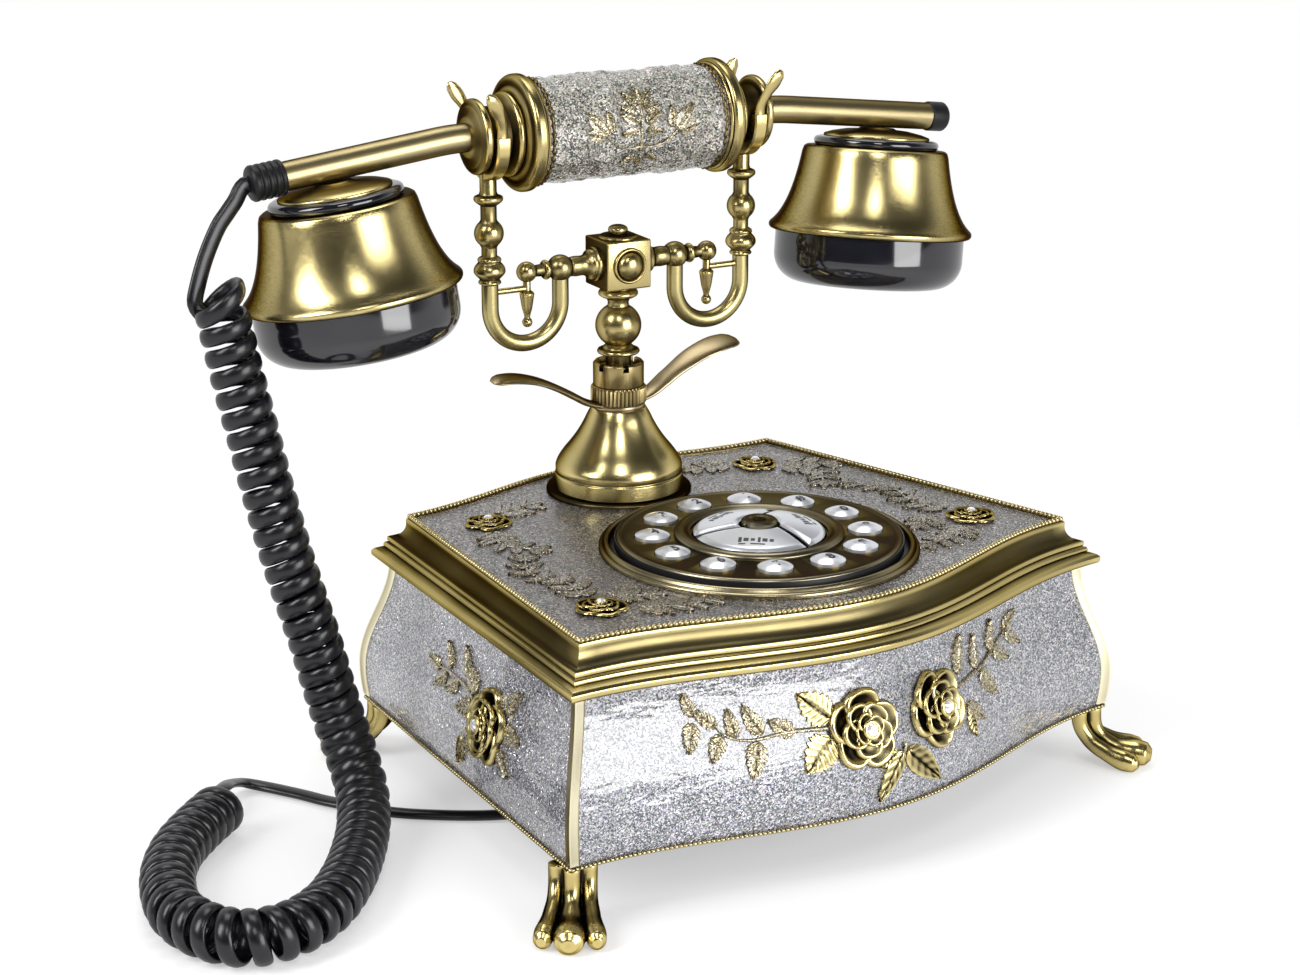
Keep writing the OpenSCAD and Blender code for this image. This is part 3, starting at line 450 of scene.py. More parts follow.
brass = agedBrass("antique_brass")
bellBrass = agedBrass("bell_brass", (0.68, 0.56, 0.25), rough=(0.22, 0.36), patina=34, cloudy=0.3,
                      level=0.64, grain=0.1, streak=0.1)
cupBrass = agedBrass("cup_brass", (0.6, 0.495, 0.225), rough=(0.22, 0.34), patina=30, cloudy=0.2,
                     level=0.6, brush=(1, 1, 9), turn=(0, 38, 0), grain=0.3, streak=0.35)
tubeBrass = agedBrass("tube_brass", (0.37, 0.305, 0.16), rough=(0.34, 0.44), patina=26, cloudy=0.25,
                      level=0.64, brush=(0.12, 1, 1), grain=0.1, streak=0.2)
hookBrass = agedBrass("hook_brass", (0.52, 0.44, 0.2), rough=(0.28, 0.42), patina=40, cloudy=0.3,
                      level=0.57)
endBrass = agedBrass("end_brass", (0.42, 0.34, 0.15), level=0.48, relief=1.0)
brushedBrass = agedBrass("brushed_brass", (0.58, 0.48, 0.22), rough=(0.25, 0.36), patina=40, cloudy=0.25,
                         level=0.66, grain=0.2)
mouldingBrass = agedBrass("moulding_brass", (0.5, 0.41, 0.18), dark=(0.11, 0.09, 0.045),
                          rough=(0.24, 0.38), patina=28, cloudy=0.3, level=0.6, brush=(0.15, 0.15, 5),
                          grain=0.14, streak=0.1)
trimBrass = agedBrass("trim_brass", (0.42, 0.355, 0.19), rough=(0.28, 0.42), cloudy=0.2, level=0.52,
                      relief=0.9)
stripBrass = agedBrass("strip_brass", (0.66, 0.61, 0.43), rough=(0.28, 0.38), cloudy=0.2, level=0.74)
ornamentBrass = agedBrass("ornament_brass", (0.5, 0.42, 0.2), dark=(0.03, 0.025, 0.018),
                          rough=(0.26, 0.42), patina=120, cloudy=0.3, level=0.42, relief=0.8)
dialBrass = agedBrass("dial_brass", (0.25, 0.222, 0.152), dark=(0.088, 0.079, 0.056), rough=(0.28, 0.4),
                      patina=40, cloudy=0.4, level=0.62)
bezelBrass = agedBrass("bezel_brass", (0.33, 0.285, 0.175), rough=(0.26, 0.38), patina=40, cloudy=0.3)
footBrass = agedBrass("foot_brass", (0.52, 0.42, 0.17), dark=(0.04, 0.03, 0.018), rough=(0.24, 0.38),
                      patina=60, cloudy=0.25, level=0.52)
wingBrass = agedBrass("wing_brass", (0.36, 0.29, 0.17), rough=(0.3, 0.42), patina=50, cloudy=0.3)
lidOrnament = agedBrass("lid_ornament", (0.4, 0.32, 0.14), dark=(0.02, 0.016, 0.01), rough=(0.26, 0.42),
                        patina=120, cloudy=0.3, level=0.3, relief=1.1)
knurlBrass = agedBrass("knurl_brass", (0.4, 0.31, 0.14), rough=(0.28, 0.4), patina=50, cloudy=0.3)
darkBrass = agedBrass("dark_brass", (0.2, 0.15, 0.07), dark=(0.04, 0.03, 0.015), rough=(0.3, 0.45))
glitter = glitterFinish("silver_glitter", [
    (0.0, (0.015, 0.017, 0.022)), (0.3, (0.1, 0.108, 0.128)), (0.62, (0.28, 0.293, 0.32)),
    (0.86, (0.57, 0.59, 0.63)), (1.0, (0.95, 0.94, 0.92))])
lidGlitter = glitterFinish("lid_glitter", [
    (0.0, (0.01, 0.01, 0.01)), (0.36, (0.055, 0.055, 0.052)), (0.68, (0.165, 0.165, 0.16)),
    (0.88, (0.4, 0.4, 0.39)), (1.0, (0.9, 0.88, 0.82))], coat=1.5, weight=0.35)
gripGlitter = glitterFinish("grip_glitter", [
    (0.0, (0.02, 0.02, 0.017)), (0.3, (0.12, 0.118, 0.1)), (0.62, (0.33, 0.325, 0.285)),
    (0.86, (0.62, 0.61, 0.55)), (1.0, (0.97, 0.95, 0.88))], size=0.42, wave=0.35, coat=1.4, weight=0.6)
sprigGlitter = glitterFinish("sprig_glitter", [
    (0.0, (0.02, 0.017, 0.01)), (0.35, (0.12, 0.1, 0.055)), (0.7, (0.42, 0.36, 0.19)),
    (1.0, (0.95, 0.86, 0.55))], 0.3, 0.6, 0.85, 0.5)
gildedGlitter = glitterFinish("gilded_glitter", [
    (0.0, (0.015, 0.013, 0.01)), (0.4, (0.055, 0.048, 0.03)), (0.7, (0.19, 0.165, 0.1)),
    (1.0, (0.75, 0.68, 0.45))], 0.3, 0.7, 0.85, 0.3)
glossBlack = plainFinish("gloss_black", (0.006, 0.006, 0.009), 0.12, coat=0.7, mottle=0.3, bump=0.01,
                         fade=0.97)
# black standing in for the shade in the dial's groove and under its middle keys
grooveShade = plainFinish("groove_shade_black", (0.006, 0.006, 0.008), 0.38, mottle=0.3, bump=0.01, shine=0.3,
                          fade=0.9)
rubber = plainFinish("black_rubber", (0.007, 0.007, 0.008), 0.42, mottle=0.25, bump=0.15, shine=0.25,
                     fade=0.8)
cordVinyl = plainFinish("cord_vinyl", (0.004, 0.004, 0.006), 0.3, mottle=0.3, bump=0.04, fade=0.8)
keySilver = plainFinish("key_silver", (0.62, 0.64, 0.68), 0.3, metal=0.75, mottle=0.05, bump=0.03)
stoneGlass = plainFinish("cut_stone", (0.9, 0.92, 0.97), 0.05, metal=0.6, mottle=0.05, bump=0.0, coat=1.0)
keyInk = plainFinish("key_ink", (0.02, 0.02, 0.025), 0.4)
housing = plainFinish("black_housing", (0.02, 0.02, 0.022), 0.5, bump=0.2)
sheet = plainFinish("bottom_sheet", (0.05, 0.05, 0.052), 0.45, metal=0.5, bump=0.2)
boardGreen = plainFinish("circuit_board", (0.02, 0.12, 0.045), 0.4, mottle=0.3, scale=200)
iron = plainFinish("ballast_iron", (0.12, 0.115, 0.11), 0.6, metal=0.8, mottle=0.3, bump=0.4)
steel = plainFinish("spring_steel", (0.5, 0.5, 0.5), 0.3, metal=1)
capsule = plainFinish("capsule_case", (0.3, 0.3, 0.31), 0.4, metal=0.6)

# nodes that are shown as they come
nodeFinish = {
    "lid_panel": lidGlitter, "bottom_plate": sheet, "line_jack": housing, "cord_gland": rubber,
    "hook_switch": housing, "circuit_boards": boardGreen, "ballast": iron, "hook_spring": steel,
    "cup_capsules": capsule, "dial_boss": dialBrass,
}
for name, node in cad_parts.items():
    if name.startswith("cord_") and name != "cord_gland":
        continue
    isKey = name.startswith("key_") or name.startswith("function_key")
    paint(node, nodeFinish.get(name, keySilver if isKey else brass))
print("finishes made")


# cord: flat-oval vinyl cable, coiled between a short lead and a tail into the base


curlyCord = {
    "wide": 5.2, "thin": 2.7, "coilOut": 16.0, "perTurn": 24, "sides": 14,
    "startAngle": 118, "topAngle": -50, "topRise": 6.5, "firstTurn": 1.4, "skip": 4.5,
    # (mm along the coil, mm from turn to turn)
    "pitch": [(0, 6.5), (40, 6.1), (85, 5.6), (130, 5.3), (175, 5.3), (215, 6.2), (290, 6.2),
              (340, 5.6), (1000, 5.5)],
    "lead": [(-120.26, 67.58, 189.25), (-121.44, 67.74, 189.11), (-123, 67.5, 187.6),
             (-124.8, 67, 185.2), (-127.9, 66.5, 182), (-131.4, 66, 178.2), (-136, 65, 170.8),
             (-139.7, 63.5, 163.4), (-141.4, 62.6, 158)],
    "coil": [(-137.5, 57.2, 166), (-135.2, 56, 150), (-133.2, 54, 136), (-130.8, 51.2, 120),
             (-129, 48.25, 106), (-127, 46.25, 94), (-125, 43.75, 82), (-123, 40.25, 70),
             (-120.5, 37.75, 58), (-118.5, 35.25, 46), (-116.5, 32.25, 34), (-115.5, 27.25, 24),
             (-117, 19.25, 15.8), (-123, 8.25, 10.5), (-132, -3.75, 8.3), (-144, -17.75, 8.1),
             (-157, -29, 8.1), (-170.5, -34.5, 8.1), (-182.5, -32.5, 8.1), (-189.5, -22.5, 8.1),
             (-191, -7, 8.1), (-184.5, 11.5, 8.1), (-174.5, 26.5, 8.1), (-161.5, 38.5, 8.1),
             (-148, 48.5, 8.1)],
    "tail": [(-143, 58.25, 9), (-137, 65.25, 6.5), (-130, 70.25, 3.4), (-124, 66.25, 1.9),
             (-118, 55.25, 1.75), (-113, 44.25, 1.75), (-103, 28.25, 1.75), (-92, 17.25, 1.75),
             (-79, 7.25, 1.9), (-68, 0.25, 3), (-61, -2.75, 6), (-58, -4, 9.5), (-58, -4, 12)],
}


def coilTurns(settings):
    # helix round the coil's own line; the first turn leans up on its outer side
    axis = curve(settings["coil"], 0.5)
    ways = directions(axis)
    east = carried(axis, Vector((1, 0, 0)))
    north = [u.cross(way) for u, way in zip(east, ways)]
    run = [0.0]
    for a, b in zip(axis, axis[1:]):
        run.append(run[-1] + (b - a).length)
    length = run[-1] - settings["skip"]
    radius = (settings["coilOut"] - settings["thin"]) / 2
    start = radians(settings["startAngle"])
    endWay = Vector(settings["tail"][0]) - axis[-1]
    endAngle = atan2(endWay.dot(north[-1]), endWay.dot(east[-1]))
    part = ((start - endAngle) / (2 * pi)) % 1
    # turns counted along the line, then fitted to the way the tail leaves
    counted = [0.0]
    step = length / 600
    for i in range(600):
        counted.append(counted[-1] + step / between(settings["pitch"], (i + 0.5) * step))
    turns = round(counted[-1] - part) + part
    counted = [c * turns / counted[-1] for c in counted]
    points, sides = [], []
    k = m = 0
    total = round(turns * settings["perTurn"])
    for i in range(total + 1):
        count = turns * i / total
        while counted[m + 1] < count and m < 599:
            m += 1
        s = settings["skip"] + step * (m + (count - counted[m]) / (counted[m + 1] - counted[m]))
        while run[k + 1] < s and k < len(run) - 2:
            k += 1
        t = (s - run[k]) / (run[k + 1] - run[k])
        angle = start - 2 * pi * turns * i / total
        turn = i / settings["perTurn"]
        lean = settings["topRise"] * max(0, 1 - turn / settings["firstTurn"]) ** 2
        lift = lean * cos(angle - radians(settings["topAngle"]))
        centre = axis[k].lerp(axis[k + 1], t) - ways[k] * lift
        points.append(centre + radius * (east[k] * cos(angle) + north[k] * sin(angle)))
        sides.append(ways[k])
    return points, sides


def makeCord():
    settings = curlyCord
    coil, coilSides = coilTurns(settings)
    lead = curve(settings["lead"] + coil[:2], 1.2)[:-2]
    tail = curve(coil[-2:] + settings["tail"], 1.2)[2:]
    leadSides = carried(lead[::-1], coilSides[0])[::-1]
    # the tail turns its wide side flat to the table
    tailSides = []
    for i, (way, side) in enumerate(zip(directions(tail), carried(tail, coilSides[-1]))):
        flat = way.cross(Vector((0, 0, 1)))
        flat = flat if flat.dot(side) > 0 else -flat
        level = min(1, i / 14)
        tailSides.append(side.lerp(flat.normalized(), level) if flat.length > 0.3 else tailSides[-1])
    points = lead + coil + tail
    rings = ovalRings(points, leadSides + coilSides + tailSides, settings["wide"], settings["thin"],
                      settings["sides"])
    cordPiece = loft("curly_cord", rings, 60)
    paint(cordPiece, cordVinyl)
    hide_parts("cord_lead", "cord_coil", "cord_tail")
    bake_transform(cordPiece)


makeCord()
print("cord made")


# base: bow-fronted walls, moulded lid edge, bead trims and corner strips


plan = {"front": 90, "back": 70, "deep": 60, "middle": 4.25, "frontBow": 20, "backBow": 11.5,
        "top": 79, "floor": 18, "belly": 30, "bellyOut": 12.4, "floorOut": 11.4, "neckOut": 4.8,
        "wall": 46.6}


def swell(x, half):
    # share of the bow at x
    return cos(pi / 2 * max(-1, min(1, x / half))) ** 2


def frontY(x, e):
    return plan["middle"] - plan["deep"] - e - plan["frontBow"] * swell(x, plan["front"] + e)


def backY(x, e):
    return plan["middle"] + plan["deep"] + e + plan["backBow"] * swell(x, plan["back"] + e)


def sideX(y, e):
    t = 0.5 + (y - plan["middle"]) / (2 * (plan["deep"] + e))
    return (plan["front"] + e) * (1 - t) + (plan["back"] + e) * t


def outline(e, front=64, side=16, back=48):
    # plan of the base standing out by e, anticlockwise from the front left corner
    hf, hb, hd, mid = plan["front"] + e, plan["back"] + e, plan["deep"] + e, plan["middle"]
    xs = [-hf + 2 * hf * i / front for i in range(front)]
    ys = [mid - hd + 2 * hd * i / side for i in range(side)]
    xb = [hb - 2 * hb * i / back for i in range(back)]
    yl = [mid + hd - 2 * hd * i / side for i in range(side)]
    return ([(x, frontY(x, e)) for x in xs] + [(sideX(y, e), y) for y in ys]
            + [(x, backY(x, e)) for x in xb] + [(-sideX(y, e), y) for y in yl])


def wallOut(z):
    low, belly = plan["floor"], plan["belly"]
    if z > belly:
        fall = (1 - cos(pi * (z - belly) / (plan["top"] - 13 - belly))) / 2
        return plan["bellyOut"] - (plan["bellyOut"] - plan["neckOut"]) * fall
    return plan["bellyOut"] - (plan["bellyOut"] - plan["floorOut"]) * ((belly - z) / (belly - low)) ** 2


def ringed(name, major, minor, spot, angle=35, weld=False):
    # torus primitive whose vertices are moved to spot(i, j), in millimetres
    obj = added("torus", name, major_segments=major, minor_segments=minor)
    for k, vertex in enumerate(obj.data.vertices):
        i, j = divmod(k, minor)
        vertex.co = Vector(spot(i, j)) * mm
    return cleaned(obj, angle, weld)


def arc(x, y, wide, high, *steps):
    # points of an oval's arc at steps in degrees
    return [(x + wide * cos(radians(a)), y + high * sin(radians(a))) for a in range(*steps)]


def eased(profile, radius=0.25, least=28):
    # rounds the sharp corners of a closed profile, leaving points on the axis
    profile = [Vector(p) for p in profile]
    out = []
    n = len(profile)
    for i, p in enumerate(profile):
        before, after = profile[i - 1] - p, profile[(i + 1) % n] - p
        if p.x < 0.01 or before.length < 1e-6 or after.length < 1e-6:
            out.append(p)
            continue
        bend = degrees(pi - before.angle(after))
        if bend < least:
            out.append(p)
            continue
        cut = min(radius, before.length * 0.4, after.length * 0.4)
        a, b = p + before.normalized() * cut, p + after.normalized() * cut
        out += [a, a * 0.25 + p * 0.5 + b * 0.25, b]
    return out


def baseBand(name, section, angle=35):
    # closed section of (out, height) carried round the base
    rings = [outline(s.x) for s in section]
    return ringed(name, len(rings[0]), len(section), lambda i, j: (*rings[j][i], section[j].y), angle)


def makeWalls():
    wallHeights = [plan["floor"] + plan["wall"] * i / 26 for i in range(27)]
    outer = [Vector((wallOut(z), z)) for z in wallHeights]
    inner = [Vector((p.x - 2.4, p.y)) for p in outer[::-3]]
    walls = baseBand("base_walls", outer + inner, 30)
    finishPiece(walls, "base", glitter, "body_shell")


lidEdge = {
    "top": [(0, 79.1), (1.4, 79.1), (1.55, 78.3)],
    "below": [(5.8, 72.9), (5.95, 71.7), (5.5, 71.35), (6.6, 70.95), (6.85, 69.9), (6.4, 69.45),
              (8.7, 68.9), (9.6, 68.1), (9.6, 66.7), (9.1, 66.1), (5.7, 64.65), (-0.2, 64.6),
              (-0.2, 76), (0, 76)],
}


def makeMoulding():
    cove = arc(5.4, 77.4, -3.9, -4.4, 0, 91, 9)
    section = eased(lidEdge["top"] + cove + lidEdge["below"], 0.3)
    moulding = baseBand("lid_edge", section[::-1], 32)
    # the cove is darkened by patina and painted shade, and the bottom lip gets a painted highlight
    finishPiece(moulding, "base", mouldingBrass, "lid_moulding", wear_and_shade=(0.8, 1),
                change=lambda p: -0.42 if 72.8 * mm < p.z < 77.8 * mm else 0.15 if p.z < 69 * mm else 0)


def evenLoop(points, step):
    # closed line resampled at even steps
    loop = points + [points[0]]
    total = sum((b - a).length for a, b in zip(loop, loop[1:]))
    count = round(total / step)
    out, k, done = [], 0, 0.0
    for i in range(count):
        goal = total * i / count
        while done + (loop[k + 1] - loop[k]).length < goal:
            done += (loop[k + 1] - loop[k]).length
            k += 1
        out.append(loop[k].lerp(loop[k + 1], (goal - done) / (loop[k + 1] - loop[k]).length))
    return out


def beadTrim(name, e, z, radius, pitch):
    # string of small beads laid round the base
    step, count = pitch / 6, 8
    line = evenLoop([Vector((*p, z)) for p in outline(e, 120, 24, 90)], step)
    line = line[:len(line) // 6 * 6]
    rings = []
    for i, p in enumerate(line):
        way = (line[(i + 1) % len(line)] - line[i - 1]).normalized()
        side = way.cross(Vector((0, 0, 1)))
        r = radius * (0.5 + 0.5 * sin(pi * (i % 6) / 6) ** 0.7)
        rings.append([p + (side * cos(2 * pi * k / count)
                           + Vector((0, 0, 1)) * sin(2 * pi * k / count)) * r for k in range(count)])
    return loft(name, rings, 50, True)


def makeTrims():
    upper = beadTrim("beads_upper", 0.75, 79.8, 0.78, 1.6)
    lower = beadTrim("beads_lower", wallOut(18.8) + 0.6, 18.75, 0.6, 1.4)
    trims = joined("bead_strings", [upper, lower])
    # painted shade darkens the lower string near the floor, and the upper string gets a slight painted
    # highlight
    finishPiece(trims, "base", trimBrass, "bead_trims", wear_and_shade=(1.2, 0),
                change=lambda p: -0.45 if p.z < 0.04 else 0.1)


def makeStrips():
    # folded brass angle on each upright corner; each leaf as (along the wall, out)
    fold = [(2.9, 0), (2.85, 0.5), (2.5, 0.75), (0.5, 0.85)]
    parts = []
    marks = outline(0)
    for c in (0, 64, 80, 128):
        rings = []
        for i in range(31):
            z = 19.7 + 44.9 * i / 30
            ring = outline(wallOut(z))
            p = Vector((*ring[c], z))
            before = (Vector((*ring[c - 1], z)) - p).normalized()
            after = (Vector((*ring[(c + 1) % len(marks)], z)) - p).normalized()
            out = -(before + after).normalized()
            seat = p + out * 0.06
            rings.append([seat] + [seat + before * a + out * b for a, b in fold] + [seat + out * 1.05]
                         + [seat + after * a + out * b for a, b in fold[::-1]])
        parts.append(loft("strip", rings, 40))
    strips = joined("corner_angles", parts)
    finishPiece(strips, "base", stripBrass, "corner_strips", wear_and_shade=(0.6, 0))


# turned pieces


def lathe(name, profile, segments=112, ease=0.25, angle=35):
    # closed profile of (radius, height) turned about Z
    shape = eased(profile, ease)

    def spot(i, j):
        a = 2 * pi * i / segments
        return shape[j].x * cos(a), shape[j].x * sin(a), shape[j].y

    return ringed(name, segments, len(shape), spot, angle, True)


standY, postX, axisZ, armZ = 52.05, 44.4, 196.9, 153.6
dialY, keyRing = -20.45, 32.3
cradlePlace = moved(0, standY, 0) @ turned(-7.7, "Z")
handsetPlace = moved(0, standY, axisZ) @ turned(-7.7, "Z") @ turned(-5.4, "X")
droop = radians(6.8)
tube = {"start": 52, "bend": 80, "cup": 95.5, "end": 121, "wide": 8.8}


def bent(angle):
    # a place on the tube's bend
    return tube["start"] + tube["bend"] * sin(angle), 0, -tube["bend"] * (1 - cos(angle))


def pastBend(x):
    # distance along the straight stretch at x from the handset's middle
    return (x - tube["start"] - tube["bend"] * sin(droop)) / cos(droop)


tubePlace = moved(*bent(droop)) @ Matrix.Rotation(droop, 4, "Y")
cupPlace = tubePlace @ moved(pastBend(tube["cup"]), 0, 0)
otherSide = Matrix.Scale(-1, 4, (1, 0, 0))
alongX = turned(90, "Y")


def pair(name, obj, inner, outer):
    # the piece placed by inner and outer, and its mirror image on the other side
    twin = copied(obj, name)
    placed(obj, outer @ inner)
    placed(twin, outer @ otherSide @ inner)
    both = joined(name, [obj, twin])
    facesOut(both)
    return both


def onCups(name, obj):
    return pair(name, obj, cupPlace, handsetPlace)


def makeStandBell():
    r, h = 23.3, 27.7
    flare = curve([(r - 3.0, 8.6), (r - 3.7, 10.4), (r - 5.4, 13), (r - 7.8, 16), (r - 10, 19.1),
                   (r - 11.9, 22.4), (r - 13.3, h - 2.4), (r - 14.2, h - 0.8)], 0.8)
    band = curve([(r - 2.8, 6.0), (r - 3.25, 6.5), (r - 3.0, 7.1)], 0.3)
    profile = ([(r, 0), (r, 1), (r - 0.6, 1.5), (r - 2.7, 1.6)]
               + band + flare + [(8.6, h), (4.05, h), (4.05, 17), (6, 17), (14, 9), (14, 0)])
    bell = lathe("stand_flare", profile)
    # the flange at its foot is darkened to near black
    finishPiece(bell, "base", bellBrass, "stand_bell", wear_and_shade=(0.8, 1),
                change=lambda p: -1 if p.z < 80.7 * mm else 0, place=moved(0, standY, plan["top"]))


def makeStem():
    foot, top = 124.1, 145.9
    ball = arc(0, foot + 9.0, 7.3, 7.1, -58, 63, 6)
    profile = ([(0, 89), (4, 89), (4, foot)]
               + curve([(6.4, foot), (6.8, foot + 0.6), (6.5, foot + 1.3)], 0.3)
               + curve([(5.2, foot + 1.6), (4.9, foot + 2.1), (3.9, foot + 3)], 0.4)
               + ball + curve([(3.4, foot + 15.7), (3.3, foot + 16.5), (3.8, top - 4)], 0.4)
               + curve([(5.2, top - 3.6), (6.1, top - 3), (6.3, top - 2.2), (5.8, top - 1.3)], 0.4)
               + [(4.8, top - 0.8), (4.8, top), (0, top)])
    stem = lathe("stem_turning", profile, 72, 0.15)
    finishPiece(stem, "cradle", brass, "cradle_stem", wear_and_shade=(1.0, 1), place=cradlePlace)


def makeCups():
    r, z = 33.2, -37.3
    collar = lathe("cup_discs", [(0, -4.45), (5.4, -4.45), (6.2, -4.9), (10, -5.2), (14.5, -6.1),
                                 (16.9, -6.9), (17.2, -7.2), (17.2, -7.8), (0, -7.8)], 96, 0.2)
    finishPiece(onCups("cup_discs", collar), "handset", brushedBrass, "cup_collars")
    neck = lathe("cup_rings", [(0, -7.8)]
                 + curve([(18.4, -7.8), (19.8, -8.3), (20.3, -9.4), (19.8, -10.6), (18.9, -10.9)], 0.5)
                 + [(0, -10.9)], 96, 0.15)
    finishPiece(onCups("cup_rings", neck), "handset", glossBlack, "cup_necks")
    wall = curve([(23.8, -13), (24.7, -18), (26, -23.5), (27.6, -28.4), (r - 3.6, z + 4.7),
                  (r - 1.8, z + 2.2), (r - 0.5, z + 0.9)], 0.9)
    lip = curve([(r - 0.1, z + 0.3), (r - 0.1, z - 0.5), (r - 0.5, z - 1.2), (r - 1.3, z - 1.6)], 0.3)
    bell = lathe("cup_flares", [(0, -10.9), (22.4, -10.9), (23.3, -11.5)]
                 + wall + lip + [(r - 2.2, z - 1.6), (r - 2.2, z - 0.6), (r - 3.4, z + 1.4),
                                 (r - 5.1, z + 4.4), (26, -28.8), (24.4, -23.8), (23.2, -18.3),
                                 (22.3, -13.4), (21.8, -12.4), (0, -12.4)], 128, 0.2)
    finishPiece(onCups("cup_flares", bell), "handset", cupBrass, "cup_bells")


def makeBowls():
    # gloss caps with a rounded foot and two rings of sound holes
    r, z = 30.8, -38.9
    foot = arc(r - 9, z - 7.6, 9, -9, 0, 91, 6)
    inner = arc(r - 9, z - 7.6, 7, -7, 90, -1, -15)
    bowl = lathe("cup_caps", [(r, z + 0.8)] + foot + [(0, z - 16.6), (0, z - 14.6)]
                 + inner + [(r - 2, z + 2.4), (r - 1, z + 2.4)], 112, 0.15)
    cutters = []
    for count, away in ((1, 0), (6, 6), (12, 12)):
        for i in range(count):
            a = 2 * pi * i / count
            cutters.append(drill(20, 1.1, 6, away * cos(a), away * sin(a), z - 15.6))
    cutAway(bowl, cutters, 30)
    finishPiece(onCups("cup_caps", bowl), "handset", glossBlack, "cup_bowls")


def makeGripEnds():
    x, disc, neck = 31, 17.88, 8.9
    profile = ([(0, x), (16.6, x), (16.9, x + 0.6), (16.4, x + 1)]
               + curve([(disc - 0.7, x + 1), (disc - 0.1, x + 1.7), (disc, x + 2.6), (disc - 0.1, x + 4),
                        (disc - 0.9, x + 5), (15.4, x + 5.2)], 0.4)
               + curve([(14.8, x + 5.3), (13.6, x + 6), (12.2, x + 6.2)], 0.4)
               + curve([(12.4, x + 6.4), (12.9, x + 7.2), (12.6, x + 8.2), (11, x + 8.8)], 0.4)
               + [(neck, x + 9.2), (neck, x + 16)]
               + curve([(10.6, x + 16.1), (11.4, x + 16.8), (11.5, x + 17.8), (11.2, x + 18.5),
                        (9.6, x + 19.2)], 0.4)
               + curve([(9.4, x + 19.3), (7.4, x + 19.9), (5.8, x + 20.5)], 0.5) + [(0, x + 20.5)])
    ends = pair("grip_turnings", lathe("grip_turnings", profile, 96, 0.15), alongX, handsetPlace)
    finishPiece(ends, "handset", endBrass, "grip_ends", wear_and_shade=(1.0, 1))


def makeTubes():
    # each tube bends down once, then runs straight to its end
    line = [Vector((51.5, 0, 0))]
    line += [Vector(bent(droop * t / 8)) for t in range(9)]
    parts = []
    for name, side, stop in (("right", 1, 7), ("left", -1, 10.5)):
        last = tubePlace @ Vector((pastBend(tube["end"]) - stop, 0, 0))
        run = line + [line[-1].lerp(last, t / 12) for t in range(1, 13)]
        part = ovalTube("tube_" + name, run, tube["wide"], tube["wide"], 40)
        placed(part, handsetPlace @ (otherSide if side < 0 else Matrix()))
        facesOut(part)
        parts.append(part)
    finishPiece(joined("handset_tubing", parts), "handset", tubeBrass, "handset_tubes")


def makeCaps():
    end = pastBend(tube["end"])
    plug = lathe("plug", [(0, 0), (4.5, 0), (4.8, 0.4), (4.8, 5.8), (4.1, 6.7), (3.2, 7), (0, 7)], 48,
                 0.2)
    ribs = [(5.4, 0.5)]
    for i in range(4):
        ribs += [(5.4, 2 * i + 1.4), (4.9, 2 * i + 1.6), (4.9, 2 * i + 2.2), (5.4, 2 * i + 2.4)]
    boot = lathe("boot", [(0, 0), (5.1, 0)] + ribs + [(5.4, 9.5), (4.8, 10.2), (3.9, 10.5), (0, 10.5)],
                 48, 0.15)
    placed(plug, handsetPlace @ tubePlace @ moved(end - 7, 0, 0) @ alongX)
    placed(boot, handsetPlace @ otherSide @ tubePlace @ moved(end - 10.5, 0, 0) @ alongX)
    facesOut(boot)
    finishPiece(joined("handset_end_caps", [plug, boot]), "handset", rubber, "handset_caps")


def makeDial():
    # bezel, raised face, black pieces of painted shade in the groove between them and under the middle
    # keys, and the ring round the middle keys
    low, z = plan["top"], 83.05
    bezel = lathe("dial_surround", [(45.2, low), (48.3, low), (48.3, low + 0.9)]
                  + curve([(48.1, low + 1.4), (47.6, low + 1.7), (47.1, low + 1.75)], 0.3)
                  + curve([(46.9, low + 2.2), (46.5, low + 2.7), (46, low + 2.9), (45.5, low + 2.7),
                           (45.2, low + 2.2)], 0.25), 144, 0.15)
    face = lathe("dial_face", [(20.4, low + 0.3), (20.4, z), (40.4, z)]
                 + curve([(41, z + 0.1), (41.8, z + 0.33), (42.6, z + 0.2), (43, z - 0.3)], 0.3)
                 + [(43.05, z - 1.1), (43.05, low + 0.3)], 144, 0.1)
    turns = [radians(30 * i) for i in range(12)]
    cutAway(face, [drill(64, 5.5, 8, keyRing * cos(a), keyRing * sin(a), 82) for a in turns], 35)
    ring = lathe("dial_inner_ring", [(20.8, z), (25.7, z), (25.7, z + 0.8)]
                 + curve([(25.4, z + 1.2), (24.6, z + 1.8), (23.6, z + 2), (22.8, z + 1.8),
                          (21.9, z + 1.2)], 0.3) + [(20.8, z + 1)], 112, 0.15)
    # painted shade: black over the face's side wall and the floor out to the bezel, and a black disc
    # under the middle keys
    step = lathe("groove", [(43.1, low), (45.1, low), (45.1, low + 0.7), (43.6, low + 0.7), (43.6, 82.7),
                            (43.1, 82.7)], 144, 0.1)
    well = lathe("well", [(3.2, low), (20.3, low), (20.3, low + 1), (3.2, low + 1)], 96, 0.1)
    groove = joined("dial_groove_shade", [step, well])
    for piece, material, *nodes in ((bezel, bezelBrass, "dial_bezel"), (face, dialBrass, "dial_plate"),
                                    (ring, dialBrass, "dial_ring"), (groove, grooveShade)):
        finishPiece(piece, "base", material, *nodes, place=moved(0, dialY, 0), wear_and_shade=(0.8, 1))


bladeReach, bladeDome = 19.9, 76


def bladeTop(away2):
    # height of the middle keys' shared dome at a squared distance from its axis
    return 84.6 - sqrt(bladeDome ** 2 - bladeReach ** 2) + sqrt(bladeDome ** 2 - away2)


